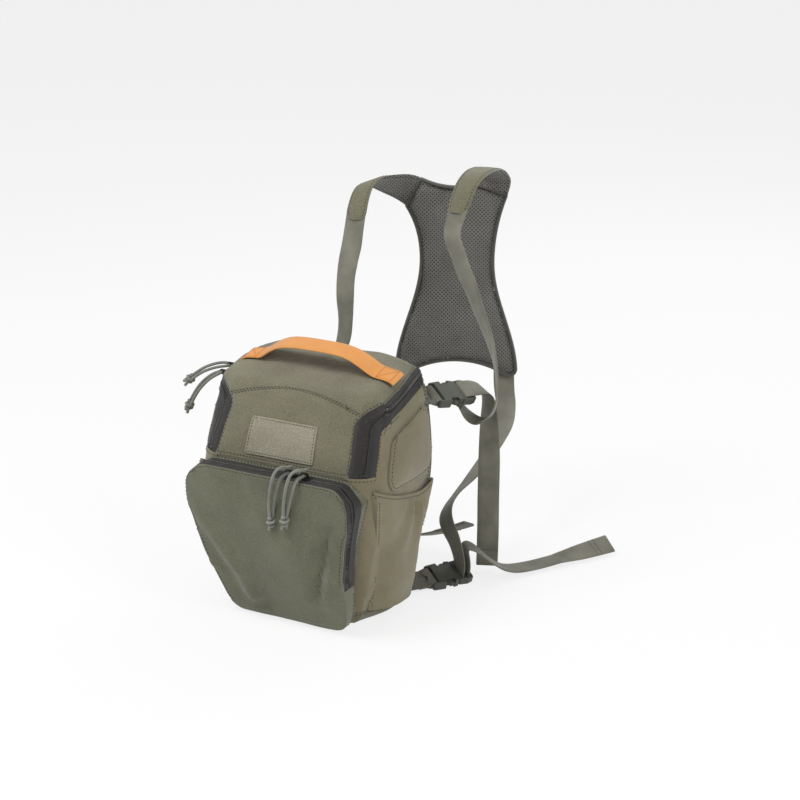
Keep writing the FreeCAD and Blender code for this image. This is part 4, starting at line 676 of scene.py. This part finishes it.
def sewn_panel(node_name, amount, reach, fold):
    """A panel's copy, crowned between its seams and softly folded, with the edge that held it."""
    bm = fine_copy(node_name, 0.006, case_slump)
    edge = held_edge(case_out, bm)
    for vertex in bm.verts:
        vertex.co += case_out(vertex.co) * swell(vertex.co, edge, amount, reach, fold)
    return bm, edge


def sew(name, bm, cloth, body, slot, facing=case_out, inset=0.003, sharp=38, **stitch):
    """Makes a shaped piece an object in its cloth, with a row of stitches inside its edges."""
    bm.normal_update()
    runs = hem_runs(bm, facing, inset)
    piece = add_piece(name + "_cloth", bm, cloth, body, (name,), sharp)
    stitched(name + "_stitching", runs, body, thread, slot, **stitch)
    return piece


def foam_pad(node_name, name, body):
    """A sheet of foam with its lining, faintly uneven."""
    bm = fine_copy(node_name, 0.012, case_slump)
    for vertex in bm.verts:
        vertex.co -= case_out(vertex.co) * 0.0003 * (1 + noise.noise(vertex.co * 40))
    add_piece(name, bm, lining, body, (node_name,), 35)


panel_edges = {}
for name, cloth, slot, amount, reach, fold in (
        ("base_panel", olive, "shell_fabric", 0.0, 0.03, 0.0003),
        ("back_panel", olive, "shell_fabric", 0.002, 0.05, 0.0008),
        ("front_wall", olive, "shell_fabric", 0.0, 0.05, 0.0003),
        ("right_side_panel", khaki, "side_fabric", 0.0045, 0.045, 0.0016),
        ("left_side_panel", khaki, "side_fabric", 0.0045, 0.045, 0.0016)):
    bm, panel_edges[name] = sewn_panel(name, amount, reach, fold)
    sew(name, bm, cloth, "pack", slot, inset=0.0032, sharp=35)
for name in ("side_foams", "back_foam", "base_foam"):
    foam_pad(name, name + "_padding", "pack")

# ---- Lid
# A padded cap of the same nylon: a sloping front panel sewn to the crown along an arched seam, over
# a sheet of foam.  It is sewn to the front wall along its foot, where it folds forward.
for name, amount, reach, fold in (("lid_front_panel", 0.0034, 0.04, 0.001),
                                  ("lid_top_panel", 0.0036, 0.045, 0.002)):
    bm, panel_edges[name] = sewn_panel(name, amount, reach, fold)
    bm.normal_update()
    # Runs hard against the panel's edge; on the front panel they carry the painted shadow along the arched seam.
    edge = hem_runs(bm, case_out, 0.0003)
    sew(name, bm, olive, "lid", "shell_fabric", sharp=35)
    # Painted shadow: along the arched seam, dark thread bars overlap into one unbroken line. The line stands for the
    # shade in the seam's groove, where its stitches also run.
    if name == "lid_front_panel":
        stitched("lid_arched_seam_painted_shadow", edge, "lid", thread, "shell_fabric", pitch=0.002, length=0.0032, thick=0.0005,
                 wide=0.0007, keep=lambda at: at.z > 0.205 and abs(at.x) < 0.088)
foam_pad("lid_foam", "lid_padding", "lid")


# ---- Front pocket
# A bellied pouch of smooth green nylon, sewn to the front wall round its back edge.  A zip runs round
# its top and sides, and the flap inside the zip folds down near the foot.
def pocket_out(point):
    """Away from the middle of the pocket."""
    core = Vector((min(max(point.x, -0.07), 0.07), -0.05, min(max(point.z, 0.05), 0.15)))
    return (point - core).normalized()


def pocket_slump(point):
    """The pouch settles to one side at its foot, and its upper corners round down."""
    hand = 1 if point.x > 0 else -1
    corner = ease(abs(point.x), 0.078, 0.106) * ease(point.z, 0.146, 0.178)
    bulge = ease(abs(point.x), 0.06, 0.1) * ease(point.z, 0.095, 0.15) * (1 - ease(point.z, 0.152, 0.18))
    foot = (1 - ease(point.z, 0.0, 0.11)) * ease(point.x, -0.02, 0.058)
    return point + Vector((0.027 * foot + hand * ((0.001 if hand > 0 else 0.007) * bulge - 0.004 * corner),
                           0.001 * corner, -0.008 * corner))


def beside(point, line):
    """Distance in the front view from a crease's line."""
    at = Vector((point.x, point.z))
    least = 1.0
    for start, end in zip(line, line[1:]):
        a, b = Vector(start), Vector(end)
        along = b - a
        share = min(max((at - a).dot(along) / along.length_squared, 0), 1)
        least = min(least, (at - a - along * share).length)
    return least


pocket_creases = [
    (0.0048, 0.0085, [(-0.101, 0.131), (-0.085, 0.112), (-0.071, 0.098), (-0.054, 0.079), (-0.038, 0.056),
                      (-0.024, 0.03)]),
    (-0.003, 0.01, [(-0.084, 0.09), (-0.07, 0.072), (-0.052, 0.046), (-0.04, 0.024)]),
    (-0.0056, 0.007, [(0.078, 0.126), (0.072, 0.098), (0.064, 0.072), (0.058, 0.045)]),
    (0.003, 0.0075, [(0.086, 0.118), (0.081, 0.094), (0.075, 0.066), (0.07, 0.04)]),
    (0.0026, 0.007, [(0.062, 0.112), (0.052, 0.084), (0.046, 0.056)]),
    (-0.0026, 0.0065, [(-0.04, 0.172), (-0.03, 0.148)]),
    (-0.0028, 0.006, [(0.076, 0.168), (0.06, 0.142)]),
    (0.002, 0.016, [(-0.06, 0.15), (0.01, 0.12), (0.04, 0.08)]),
    (-0.002, 0.01, [(-0.02, 0.02), (0.03, 0.034), (0.06, 0.024)]),
]
pocket_green = fabric_finish("green pocket nylon", (0.077, 0.081, 0.05), (0.192, 0.194, 0.128), rough=0.7, grain=1900.0,
                             height=0.00015, sheen=0.25)
flap_fold_height = 0.057
pocket_copies = {name: fine_copy(name, 0.006, pocket_slump) for name in ("pocket_flap", "pocket_lower")}
pocket_edge = held_edge(pocket_out, *pocket_copies.values(),
                        keep=lambda at: abs(at.z - flap_fold_height) >= 0.004 or at.y >= -0.07)


def pocket_swell(point):
    """How far the pouch stands out, with its creases."""
    out = swell(point, pocket_edge, 0.0042, 0.05, 0.0016, 22.0)
    held = min(pocket_edge.find(point)[2] / 0.014, 1.0)
    if point.y < -0.06:
        for height, width, line in pocket_creases:
            out += held * height * math.exp(-(beside(point, line) / width) ** 2)
    return out


for name, body, slot in (("pocket_flap", "pocket_flap", "flap_fabric"), ("pocket_lower", "pack", "shell_fabric")):
    bm = pocket_copies[name]
    for vertex in bm.verts:
        if name == "pocket_lower" and abs(vertex.co.z - flap_fold_height) < 0.0008:
            vertex.co.z += 0.0004
        vertex.co += pocket_out(vertex.co) * pocket_swell(vertex.co)
    sew(name, bm, pocket_green, body, slot, pocket_out, keep=lambda at: abs(at.z - flap_fold_height) > 0.006)


# ---- Side pads and stretch pockets
# On each side, a thin raised pad of khaki cloth over foam, and below it an open pouch of stretch
# nylon, sewn down on three sides.  The elastic in the pouch's mouth gathers its cloth.
def pouch_swell(point, tree):
    """Belly of a side pouch, with gathers that fan down from its mouth."""
    out = swell(point, tree, 0.0048, 0.04, 0.001, 20.0)
    held = min(tree.find(point)[2] / 0.01, 1.0)
    from_mouth = Vector((point.y - 0.03, 0.15 - point.z))
    fan = math.atan2(from_mouth.x, max(from_mouth.y, 0.002))
    fade = max(0.0, 1 - from_mouth.length / 0.105) * math.exp(-(fan / 0.75) ** 2)
    return out + held * fade * 0.0052 * math.sin(fan * 11 + 0.6)


def pouch_slump(point):
    """The pouch reaches round the front corner, and its mouth sags in the middle."""
    hand = 1 if point.x > 0 else -1
    ahead = 1 - ease(point.y, -0.036, 0.045)
    high = ease(point.z, 0.07, 0.15)
    return case_slump(point + Vector((-hand * 0.0045 * (1 - ease(point.y, -0.036, -0.012)),
                                      -0.013 * ahead * (0.4 + 0.6 * high),
                                      high * (0.012 * ahead - 0.009 * ease(point.y, 0.01, 0.07)))))


for side in ("right", "left"):
    bm = fine_copy(side + "_side_pocket", 0.004, pouch_slump)
    edge = held_edge(case_out, bm)
    for vertex in bm.verts:
        vertex.co += case_out(vertex.co) * pouch_swell(vertex.co, edge)
    sew(side + "_side_pocket", bm, khaki, "pack", "side_fabric", inset=0.0035)
    bm = fine_copy(side + "_side_pad", 0.006, case_slump)
    edge, wall = held_edge(case_out, bm), panel_edges[side + "_side_panel"]
    for vertex in bm.verts:
        out = swell(vertex.co, wall, 0.0045, 0.045, 0.0016) + swell(vertex.co, edge, 0.0034, 0.018)
        vertex.co += case_out(vertex.co) * out
    sew(side + "_side_pad", bm, khaki, "pack", "side_fabric", inset=0.0028)

# ---- Zips
# Coated black tapes, sewn behind the edges of the cloth, each with a nylon coil along the slit.
# Two cast metal sliders, painted black, run on each pair of coils; the main zip's have pull tabs.
tape_finish = fabric_finish("coated zip tape", (0.009, 0.0082, 0.0075), (0.022, 0.0195, 0.018), rough=0.42,
                            grain=2400.0, height=0.0001, sheen=0.1, crumple=0.0004)
coil_finish = fabric_finish("nylon coil", (0.03, 0.028, 0.027), (0.1, 0.095, 0.092), rough=0.24, grain=900.0,
                            height=0.00005, sheen=0.0, crumple=0.0001)
tape_finish.node_tree.nodes["Principled BSDF"].inputs["Specular IOR Level"].default_value = 0.4
coil_finish.node_tree.nodes["Principled BSDF"].inputs["Specular IOR Level"].default_value = 0.8


def tape_copies(pairs, facing, slump):
    """The two tapes of a zip, and teeth along the edges where they face each other."""
    copies = {name: fine_copy(name, 0.006, slump) for name, _ in pairs}
    runs, edges = {}, {}
    for name, bm in copies.items():
        for vertex in bm.verts:
            vertex.co += facing(vertex.co) * 0.0006 * noise.noise(vertex.co * 60)
        bm.normal_update()
        runs[name] = hem_runs(bm, facing, 0.0028)
        edges[name] = held_edge(facing, bm)
    for (name, body), (other, _) in (pairs, pairs[::-1]):
        stitched(name + "_teeth", runs[name], body, coil_finish, "zip_tape", pitch=0.0022, length=0.0015, thick=0.0009,
                 wide=0.0024, keep=lambda at: edges[other].find(at)[2] < 0.0058)
        add_piece(name + "_woven", copies[name], tape_finish, body, (name,), 38)


tape_copies((("main_zip_lid_tape", "lid"), ("main_zip_case_tape", "pack")), case_out, case_slump)
tape_copies((("pocket_zip_flap_tape", "pocket_flap"), ("pocket_zip_case_tape", "pack")), pocket_out, pocket_slump)


def hard_finish(name, dark, light, rough, clouds, grain, depth, strength):
    """Cast or moulded surface: cloudy tone and gloss, and a fine grain; each pattern is a scale and a detail."""
    material, tree, shader = finish_of(name, light, rough[1])
    cloudy = clouds_of(tree, in_place(tree), *clouds)
    tree.links.new(two_tone(tree, cloudy, dark, light), shader.inputs["Base Color"])
    wear(tree, shader, cloudy, *rough)
    relief(tree, shader, clouds_of(tree, in_place(tree), *grain), depth, strength)
    return material


metal = hard_finish("black slider metal", (0.014, 0.014, 0.015), (0.07, 0.068, 0.066), rough=(0.28, 0.55),
                    clouds=(420.0, 5.0), grain=(420.0, 5.0), depth=0.0001, strength=0.5)
metal.node_tree.nodes["Principled BSDF"].inputs["Metallic"].default_value = 0.75


def refinish(name, material):
    """Gives a kept CAD piece its material."""
    if not nodes[name].material_slots:
        nodes[name].data.materials.append(material)
    for place in nodes[name].material_slots:
        place.material = material


for name in ("main_slider_front", "main_slider_rear", "pocket_slider_left", "pocket_slider_right",
             "main_pull_tab_front", "main_pull_tab_rear"):
    refinish(name, metal)

# ---- Label patch
# A bare patch of paler woven nylon, 1.4 mm thick, laid flat on the lid's sloping front and sewn
# down all round.
patch_finish = fabric_finish("woven patch", (0.185, 0.17, 0.122), (0.365, 0.34, 0.255), rough=0.6, grain=1300.0)
bm = fine_copy("label_patch", 0.003, lambda point: case_slump(
    Vector((-0.0075 + (point.x + 0.02) * 1.19, point.y + 0.0012, point.z + 0.0027))))
for vertex in bm.verts:
    vertex.co += case_out(vertex.co) * swell(vertex.co, panel_edges["lid_front_panel"], 0.0034, 0.04, 0.001)
sew("label_patch", bm, patch_finish, "lid", "patch", inset=0.0022, pitch=0.0034, length=0.0022, thick=0.0005)

# ---- Grab handle
# A length of orange webbing arched over the crown.  Its two feet lie flat on the lid and are sewn
# down, each by a box of stitches with one diagonal.
orange_finish = webbing_finish("orange webbing", (0.6, 0.235, 0.05), (0.88, 0.425, 0.128), rib=0.0014, row=0.0017,
                               height=0.0002, rough=0.6, gloss=0.62)
half_arch = [(0.096, -0.0016), (0.093, 0.001), (0.087, 0.0022), (0.078, 0.0024), (0.07, 0.0036), (0.062, 0.0096),
             (0.053, 0.0168), (0.043, 0.0222), (0.031, 0.0252), (0.015, 0.0264)]
crown_up = Vector((0, -0.2363, 0.9717))
crown_middle = Vector((0.001, 0.023, 0.2639))
handle_route = [crown_middle + Vector((x, 0, 0)) + crown_up * h for x, h in half_arch]
handle_route += [Vector((2 * crown_middle.x - place.x, place.y, place.z)) for place in reversed(handle_route)]
line = route_line(handle_route)
bm = bmesh.new()
swept(bm, line, untwisted(line, Vector((0, 0.9717, 0.2363))), band_section(0.025, 0.0022))
for vertex in bm.verts:
    share = 1 - min(max((vertex.co - crown_middle).dot(crown_up) / 0.032, 0), 1)
    lid_swell = swell(vertex.co, panel_edges["lid_top_panel"], 0.0036, 0.045, 0.002)
    vertex.co += case_out(vertex.co) * (0.0004 + share * lid_swell)
bm.normal_update()
orange_thread = fabric_finish("orange thread", (0.4, 0.11, 0.02), (0.62, 0.2, 0.045), rough=0.6, grain=3000.0,
                              height=0.00005, sheen=0.2)
web_skin = BVHTree.FromBMesh(bm)
box_runs = []
for hand in (1, -1):
    box = [(0.0925, 0.0105), (0.0925, -0.0105), (0.076, -0.0105), (0.076, 0.0105), (0.0925, 0.0105), (0.076, -0.0105)]
    for first, last in zip(box, box[1:]):
        run = []
        for k in range(13):
            x, y = (a + (b - a) * k / 12 for a, b in zip(first, last))
            above = crown_middle + Vector((x * hand, 0.9717 * y, 0.2363 * y)) + crown_up * 0.014
            place, normal, _, _ = web_skin.ray_cast(above, -crown_up)
            if place:
                run.append((place, normal, Vector((1, 0, 0))))
        box_runs.append(run)
add_piece("handle_webbing", bm, orange_finish, "lid", ("handle",))
stitched("handle_box_stitches", box_runs, "lid", orange_thread, "orange_webbing", pitch=0.0024, length=0.0019,
         thick=0.0004)

# ---- Side-release buckles
# Moulded acetal sockets, each sewn to the case in a short double loop of webbing, and clips whose two
# prongs spring into the socket's windows.  The straps' webbing turns round the clips' bars.
acetal = hard_finish("moulded acetal", (0.05, 0.054, 0.044), (0.097, 0.101, 0.084), rough=(0.32, 0.56),
                     clouds=(60.0, 4.0), grain=(900.0, 3.0), depth=0.00008, strength=0.6)
for level in ("upper", "lower"):
    for side in ("right", "left"):
        for part in ("socket", "clip", "prongs"):
            refinish(f"{level}_{side}_{part}", acetal)
bm = fine_copy("anchor_loops", 0.008)
loop_finish = fabric_finish("loop webbing", (0.07, 0.068, 0.05), (0.19, 0.185, 0.15), rough=0.75, grain=1100.0,
                            height=0.00025, sheen=0.2)
add_piece("anchor_loops_webbing", bm, loop_finish, "pack", ("anchor_loops",), 38)

# The webbing's turns through each clip, in the buckle's own directions.
buckles = {
    "upper": (Vector((0.104, 0.0885, 0.229)), Vector((0.42076, 0.90162, -0.10018)), upper_side,
              Vector((0.45443, -0.11391, 0.88347)), [(0.0386, -0.0077), (0.0386, -0.001), (0.0386, 0.005),
              (0.0395, 0.0056), (0.045, 0.0056), (0.0528, 0.0056)]),
    "lower": (Vector((0.1, 0.0874, 0.011)), Vector((0.55238, 0.83359, 0.0)), lower_side,
              Vector((0.30963, -0.20517, 0.92846)), [(0.0386, 0.0077), (0.0386, 0.001), (0.0386, -0.003),
              (0.04, -0.0034), (0.0448, -0.0034), (0.0462, -0.003), (0.0462, 0.001), (0.0462, 0.0077)]),
}
for level, (at, ahead, across, face, bends) in buckles.items():
    for side, mirror in (("right", Vector), ("left", left_of)):
        route = [mirror(at + ahead * x + face * z) for x, z in bends]
        line = route_line(route)
        bm = bmesh.new()
        swept(bm, line, untwisted(line, mirror(across)), band_section(web_width, web_thick))
        add_piece(f"{level}_{side}_wrap", bm, web_finish, f"clip_{level}_{side}")
        reach = 0.032 if level == "upper" else 0.043
        route = [mirror(at - ahead * x) for x in (-0.0005, 0.006, 0.014, 0.024, reach)]
        line = route_line(route)
        bm = bmesh.new()
        swept(bm, line, untwisted(line, mirror(across)), band_section(web_width, 0.003))
        add_piece(f"{level}_{side}_anchor_web", bm, loop_finish, "pack")

# ---- Harness straps
# Four runs of the same webbing from the clips to the yoke: the upper two are sewn into the shoulder
# arms, the lower two under the yoke's feet.  Each is modelled in two lengths that meet in mid-run.
strap_routes = {
    "upper_right": ([
        (0.1166, 0.1242, 0.2181), (0.1132, 0.1251, 0.2115), (0.115, 0.1327, 0.2075), (0.121, 0.139, 0.195),
        (0.135, 0.139, 0.188), (0.15, 0.136, 0.196), (0.158, 0.138, 0.216), (0.154, 0.146, 0.246),
        (0.135, 0.164, 0.283), (0.11, 0.179, 0.32), (0.085, 0.191, 0.354), (0.0657, 0.2013, 0.3799),
        (0.067, 0.2143, 0.4036), (0.0675, 0.2196, 0.413)],
        {0: upper_side, 4: Vector((-0.3, 0.9, 0)), 6: Vector((-0.3, 0.9, 0)), 12: Vector((-1, 0, 0))}, 6),
    "upper_left": ([
        (-0.1166, 0.1242, 0.2181), (-0.1132, 0.1251, 0.2115), (-0.115, 0.134, 0.2055), (-0.113, 0.147, 0.194),
        (-0.104, 0.161, 0.192), (-0.088, 0.17, 0.199), (-0.072, 0.171, 0.216), (-0.059, 0.168, 0.242),
        (-0.051, 0.166, 0.272), (-0.052, 0.168, 0.306), (-0.054, 0.177, 0.338), (-0.0548, 0.1872, 0.3628),
        (-0.056, 0.1968, 0.3866), (-0.0564, 0.2006, 0.3958)],
        {0: left_of(upper_side), 10: Vector((1, 0.1, 0)), 12: Vector((1, 0, 0))}, 6),
    "lower_right": ([
        (0.1238, 0.1179, 0.0184), (0.1261, 0.1164, 0.0253), (0.12, 0.114, 0.051), (0.106, 0.121, 0.066),
        (0.097, 0.137, 0.076), (0.094, 0.165, 0.086), (0.098, 0.203, 0.099), (0.102, 0.243, 0.118),
        (0.101, 0.278, 0.134), (0.091, 0.306, 0.148), (0.0746, 0.3284, 0.1625), (0.0746, 0.3284, 0.202)],
        {0: lower_side, 11: Vector((-0.9063, -0.4226, 0))}, 5),
    "lower_left": ([
        (-0.1238, 0.1179, 0.0184), (-0.1261, 0.1164, 0.0253), (-0.12, 0.115, 0.05), (-0.11, 0.124, 0.068),
        (-0.097, 0.142, 0.086), (-0.082, 0.168, 0.104), (-0.062, 0.202, 0.122), (-0.043, 0.24, 0.14),
        (-0.0305, 0.2793, 0.1625), (-0.0305, 0.2793, 0.202)],
        {0: left_of(lower_side), 9: Vector((0.9063, 0.4226, 0))}, 5),
}
for name, (route, facing, still) in strap_routes.items():
    line = route_line(route)
    sides = facing_sides(line, route, facing)
    cut = nearest_on(line, Vector(route[still]))
    for label, first, last, held, ends in (
            ("low", 0, cut, ("clip_" + name, "pack"), (route[2], route[still])),
            ("high", cut, len(line) - 1, ("pack", "harness"), (route[still], route[-2]))):
        bm = bmesh.new()
        swept(bm, line[first:last + 1], sides[first:last + 1], band_section(web_width, web_thick))
        for vertex in bm.verts:
            loose = ease(min((vertex.co - line[0]).length, (vertex.co - line[-1]).length), 0.02, 0.06)
            wave = Vector([noise.noise(vertex.co * 26 + Vector(shift)) for shift in ((3, 1, 7), (8, 5, 2), (1, 9, 4))])
            vertex.co += wave * 0.0026 * loose
        piece = add_piece(f"{name}_strap_{label}", bm, web_finish, None, (name + "_strap",))
        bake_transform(piece)

# ---- Back yoke
# An hourglass pad that lies between the shoulder blades: foam between perforated mesh on its inner
# face and nylon outside, bound round its edge by a folded tape that is sewn through.
yoke_back = Vector((-0.4226, 0.9063, 0))
yoke_mesh_finish, tree, shader = finish_of("perforated mesh", (0.11, 0.108, 0.1), 0.75, 0.3)
where = in_place(tree)
turned = node(tree, "ShaderNodeMapping", {"Vector": where, "Rotation": (0.0, 0.0, -0.4363)}).outputs[0]
slanted = node(tree, "ShaderNodeMapping", {"Vector": turned, "Rotation": (0.0, 0.7854, 0.0)}).outputs[0]
lattice = sum_of(tree, "MULTIPLY", *(rows_of(tree, slanted, 95.0, way) for way in "XZ"))
holes = node(tree, "ShaderNodeMapRange", {"Value": lattice, "From Min": 0.52, "From Max": 0.66}).outputs[0]
knit = two_tone(tree, clouds_of(tree, where, 30.0, 6.0), (0.1, 0.098, 0.089), (0.2, 0.195, 0.178))
pierced = node(tree, "ShaderNodeMix", {0: holes, 6: knit, 7: (0.012, 0.012, 0.011, 1)}, data_type="RGBA")
tree.links.new(pierced.outputs[2], shader.inputs["Base Color"])
relief(tree, shader, sum_of(tree, "SUBTRACT", 1.0, lattice), 0.0008, 0.7)

bm = bmesh.new()
for name in ("yoke_mesh", "yoke_foam", "yoke_cover"):
    bm.from_mesh(nodes[name].data)
bmesh.ops.remove_doubles(bm, verts=bm.verts, dist=2e-5)
yoke_piece = add_piece("yoke_padding", bm, yoke_mesh_finish)
remesh = yoke_piece.modifiers.new("remesh", "REMESH")
remesh.mode = "VOXEL"
remesh.voxel_size = 0.0034


def settle(piece, pressure, cap, frames=20):
    """Inflates a remeshed pad by cloth simulation, and leaves each point near where it was cut."""
    layer = bpy.context.evaluated_depsgraph_get()
    mesh = bpy.data.meshes.new_from_object(piece.evaluated_get(layer))
    piece.modifiers.clear()
    piece.data = mesh
    before = [vertex.co.copy() for vertex in mesh.vertices]
    cloth = piece.modifiers.new("cloth", "CLOTH")
    cloth.settings.effector_weights.gravity = 0
    cloth.settings.use_pressure = True
    cloth.settings.uniform_pressure_force = pressure
    cloth.settings.quality = 6
    cloth.point_cache.frame_end = frames
    for frame_number in range(1, frames + 1):
        bpy.context.scene.frame_set(frame_number)
    layer = bpy.context.evaluated_depsgraph_get()
    moved = bpy.data.meshes.new_from_object(piece.evaluated_get(layer))
    piece.modifiers.clear()
    bpy.context.scene.frame_set(1)
    for vertex, old, new in zip(mesh.vertices, before, moved.vertices):
        step = new.co - old
        vertex.co = old + step * min(1.0, cap / step.length if step.length else 1.0)
    bpy.data.meshes.remove(moved)


settle(yoke_piece, 3.0, 0.0022)
bm = bmesh.new()
bm.from_mesh(yoke_piece.data)
for smoothing in range(2):
    bmesh.ops.smooth_vert(bm, verts=bm.verts, factor=0.5, use_axis_x=True, use_axis_y=True, use_axis_z=True)
for vertex in bm.verts:
    vertex.co += yoke_back * 0.005 * noise.noise(vertex.co * 13)
bm.normal_update()
for face in bm.faces:
    face.material_index = 1 if face.normal.dot(yoke_back) > 0.25 else 0
bm.to_mesh(yoke_piece.data)
bm.free()
yoke_piece.data.materials.append(olive)
softened = yoke_piece.modifiers.new("subdivision", "SUBSURF")
softened.levels = softened.render_levels = 1
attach(yoke_piece, "harness")
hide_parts("yoke_mesh", "yoke_foam", "yoke_cover")

# The binding: a dark tape folded over the edge and sewn through; its stitches show on the inner face.
binding_finish = fabric_finish("edge binding", (0.045, 0.044, 0.038), (0.115, 0.112, 0.096), rough=0.7, grain=1600.0,
                               height=0.0002, sheen=0.25)
bm = fine_copy("yoke_mesh", 0.01)
edge_runs = hem_runs(bm, lambda place: -yoke_back, 0.0012)
seam_runs = hem_runs(bm, lambda place: -yoke_back, 0.0042)
bm.free()
outline = [place + yoke_back * 0.0034 for place, _, _ in max(edge_runs, key=len)]
outline = [place for k, place in enumerate(outline) if k == 0 or (place - outline[k - 1]).length > 1e-4]
outline.append(outline[0].copy())
bm = bmesh.new()
oval = [(0.0021 * math.cos(math.tau * k / 12), 0.0046 * math.sin(math.tau * k / 12)) for k in range(12)]
swept(bm, outline, [direction.cross(yoke_back).normalized() for direction in ahead_of(outline)], oval)
add_piece("yoke_binding", bm, binding_finish, "harness")
stitched("yoke_binding_stitching", [[(place - yoke_back * 0.0012, -yoke_back, along) for place, _, along in run]
                                    for run in seam_runs], "harness", thread, "mesh")


# ---- Shoulder arms
# Padded arms that rise from the yoke's upper corners and curve forward over the shoulders: nylon
# outside, mesh inside, a stitched border and a rounded end where the upper strap is sewn in.
def arm_half_width(share, inset=0.0):
    """Half the arm's width, less an inset: wide at the yoke, narrow and rounded at its free end."""
    half = (0.038 - 0.011 * share) / 2 - inset
    left_over = (1 - share) / 0.055
    return half * (0.72 + 0.28 * math.sqrt(max(0.0, 1 - (1 - left_over) ** 2)) if left_over < 1 else 1)


def arm_section(share):
    """Outline of the crowned pad."""
    half, rise = arm_half_width(share), 0.0022
    top = [(half - 0.0008, 0.001), (half - 0.003, 0.0014), (half * 0.6, rise), (0, rise * 1.12), (-half * 0.6, rise),
           (-half + 0.003, 0.0014), (-half + 0.0008, 0.001)]
    return top + [(-half, 0)] + [(a, -b) for a, b in reversed(top)] + [(half, 0)]


arm_routes = {
    "right": ([
        (0.0614, 0.3169, 0.4135), (0.0648, 0.3185, 0.4238), (0.0675, 0.3106, 0.432), (0.0693, 0.2949, 0.442),
        (0.0718, 0.2706, 0.446), (0.0707, 0.2469, 0.443), (0.0684, 0.2282, 0.429), (0.067, 0.2145, 0.404)],
        {0: Vector((0.8517, 0.3971, -0.342)), 7: Vector((1, 0, 0))}),
    "left": ([
        (-0.024, 0.2771, 0.4098), (-0.0328, 0.273, 0.415), (-0.0442, 0.2519, 0.422), (-0.0528, 0.2302, 0.429),
        (-0.0574, 0.2093, 0.417), (-0.056, 0.197, 0.387)],
        {0: Vector((0.4255, 0.1984, 0.8829)), 5: Vector((1, 0, 0))}),
}
for side, (route, facing) in arm_routes.items():
    line = route_line(route)
    fine_line = [line[0]]
    for a, b in zip(line, line[1:]):
        fine_line += [a.lerp(b, 0.5), b]
    line = fine_line
    sides = facing_sides(line, route, facing)
    bm = bmesh.new()
    swept(bm, line, sides, arm_section)
    ahead = ahead_of(line)
    for face in bm.faces:
        middle = face.calc_center_median()
        i = min(range(len(line)), key=lambda k: (line[k] - middle).length_squared)
        face.material_index = int(face.normal.dot(sides[i].cross(ahead[i])) > 0.35)
    arm = add_piece(side + "_shoulder_arm_pad", bm, olive, "harness", (side + "_shoulder_arm",), 60)
    arm.data.materials.append(yoke_mesh_finish)
    borders = []
    last = len(line) - 1
    for face_sign in (1, -1):
        border = []
        for i, hand in [(i, 1) for i in range(2, last)] + [(i, -1) for i in range(last - 1, 1, -1)]:
            lift = sides[i].cross(ahead[i]).normalized() * face_sign
            from_middle = arm_half_width(i / last, 0.0032) * hand
            short_of_end = 0.0025 if i >= last - 2 else 0
            place = line[i] + sides[i] * from_middle + lift * 0.0015 - ahead[i] * short_of_end
            border.append((place, lift, ahead[i]))
        borders.append(border)
    stitched(side + "_shoulder_arm_stitching", borders, "harness", thread, "yoke_cover", pitch=0.004, length=0.0026,
             thick=0.00045)
size = {"cad": [list(corner) for corner in cad_box], "visual": [list(corner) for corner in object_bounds()]}
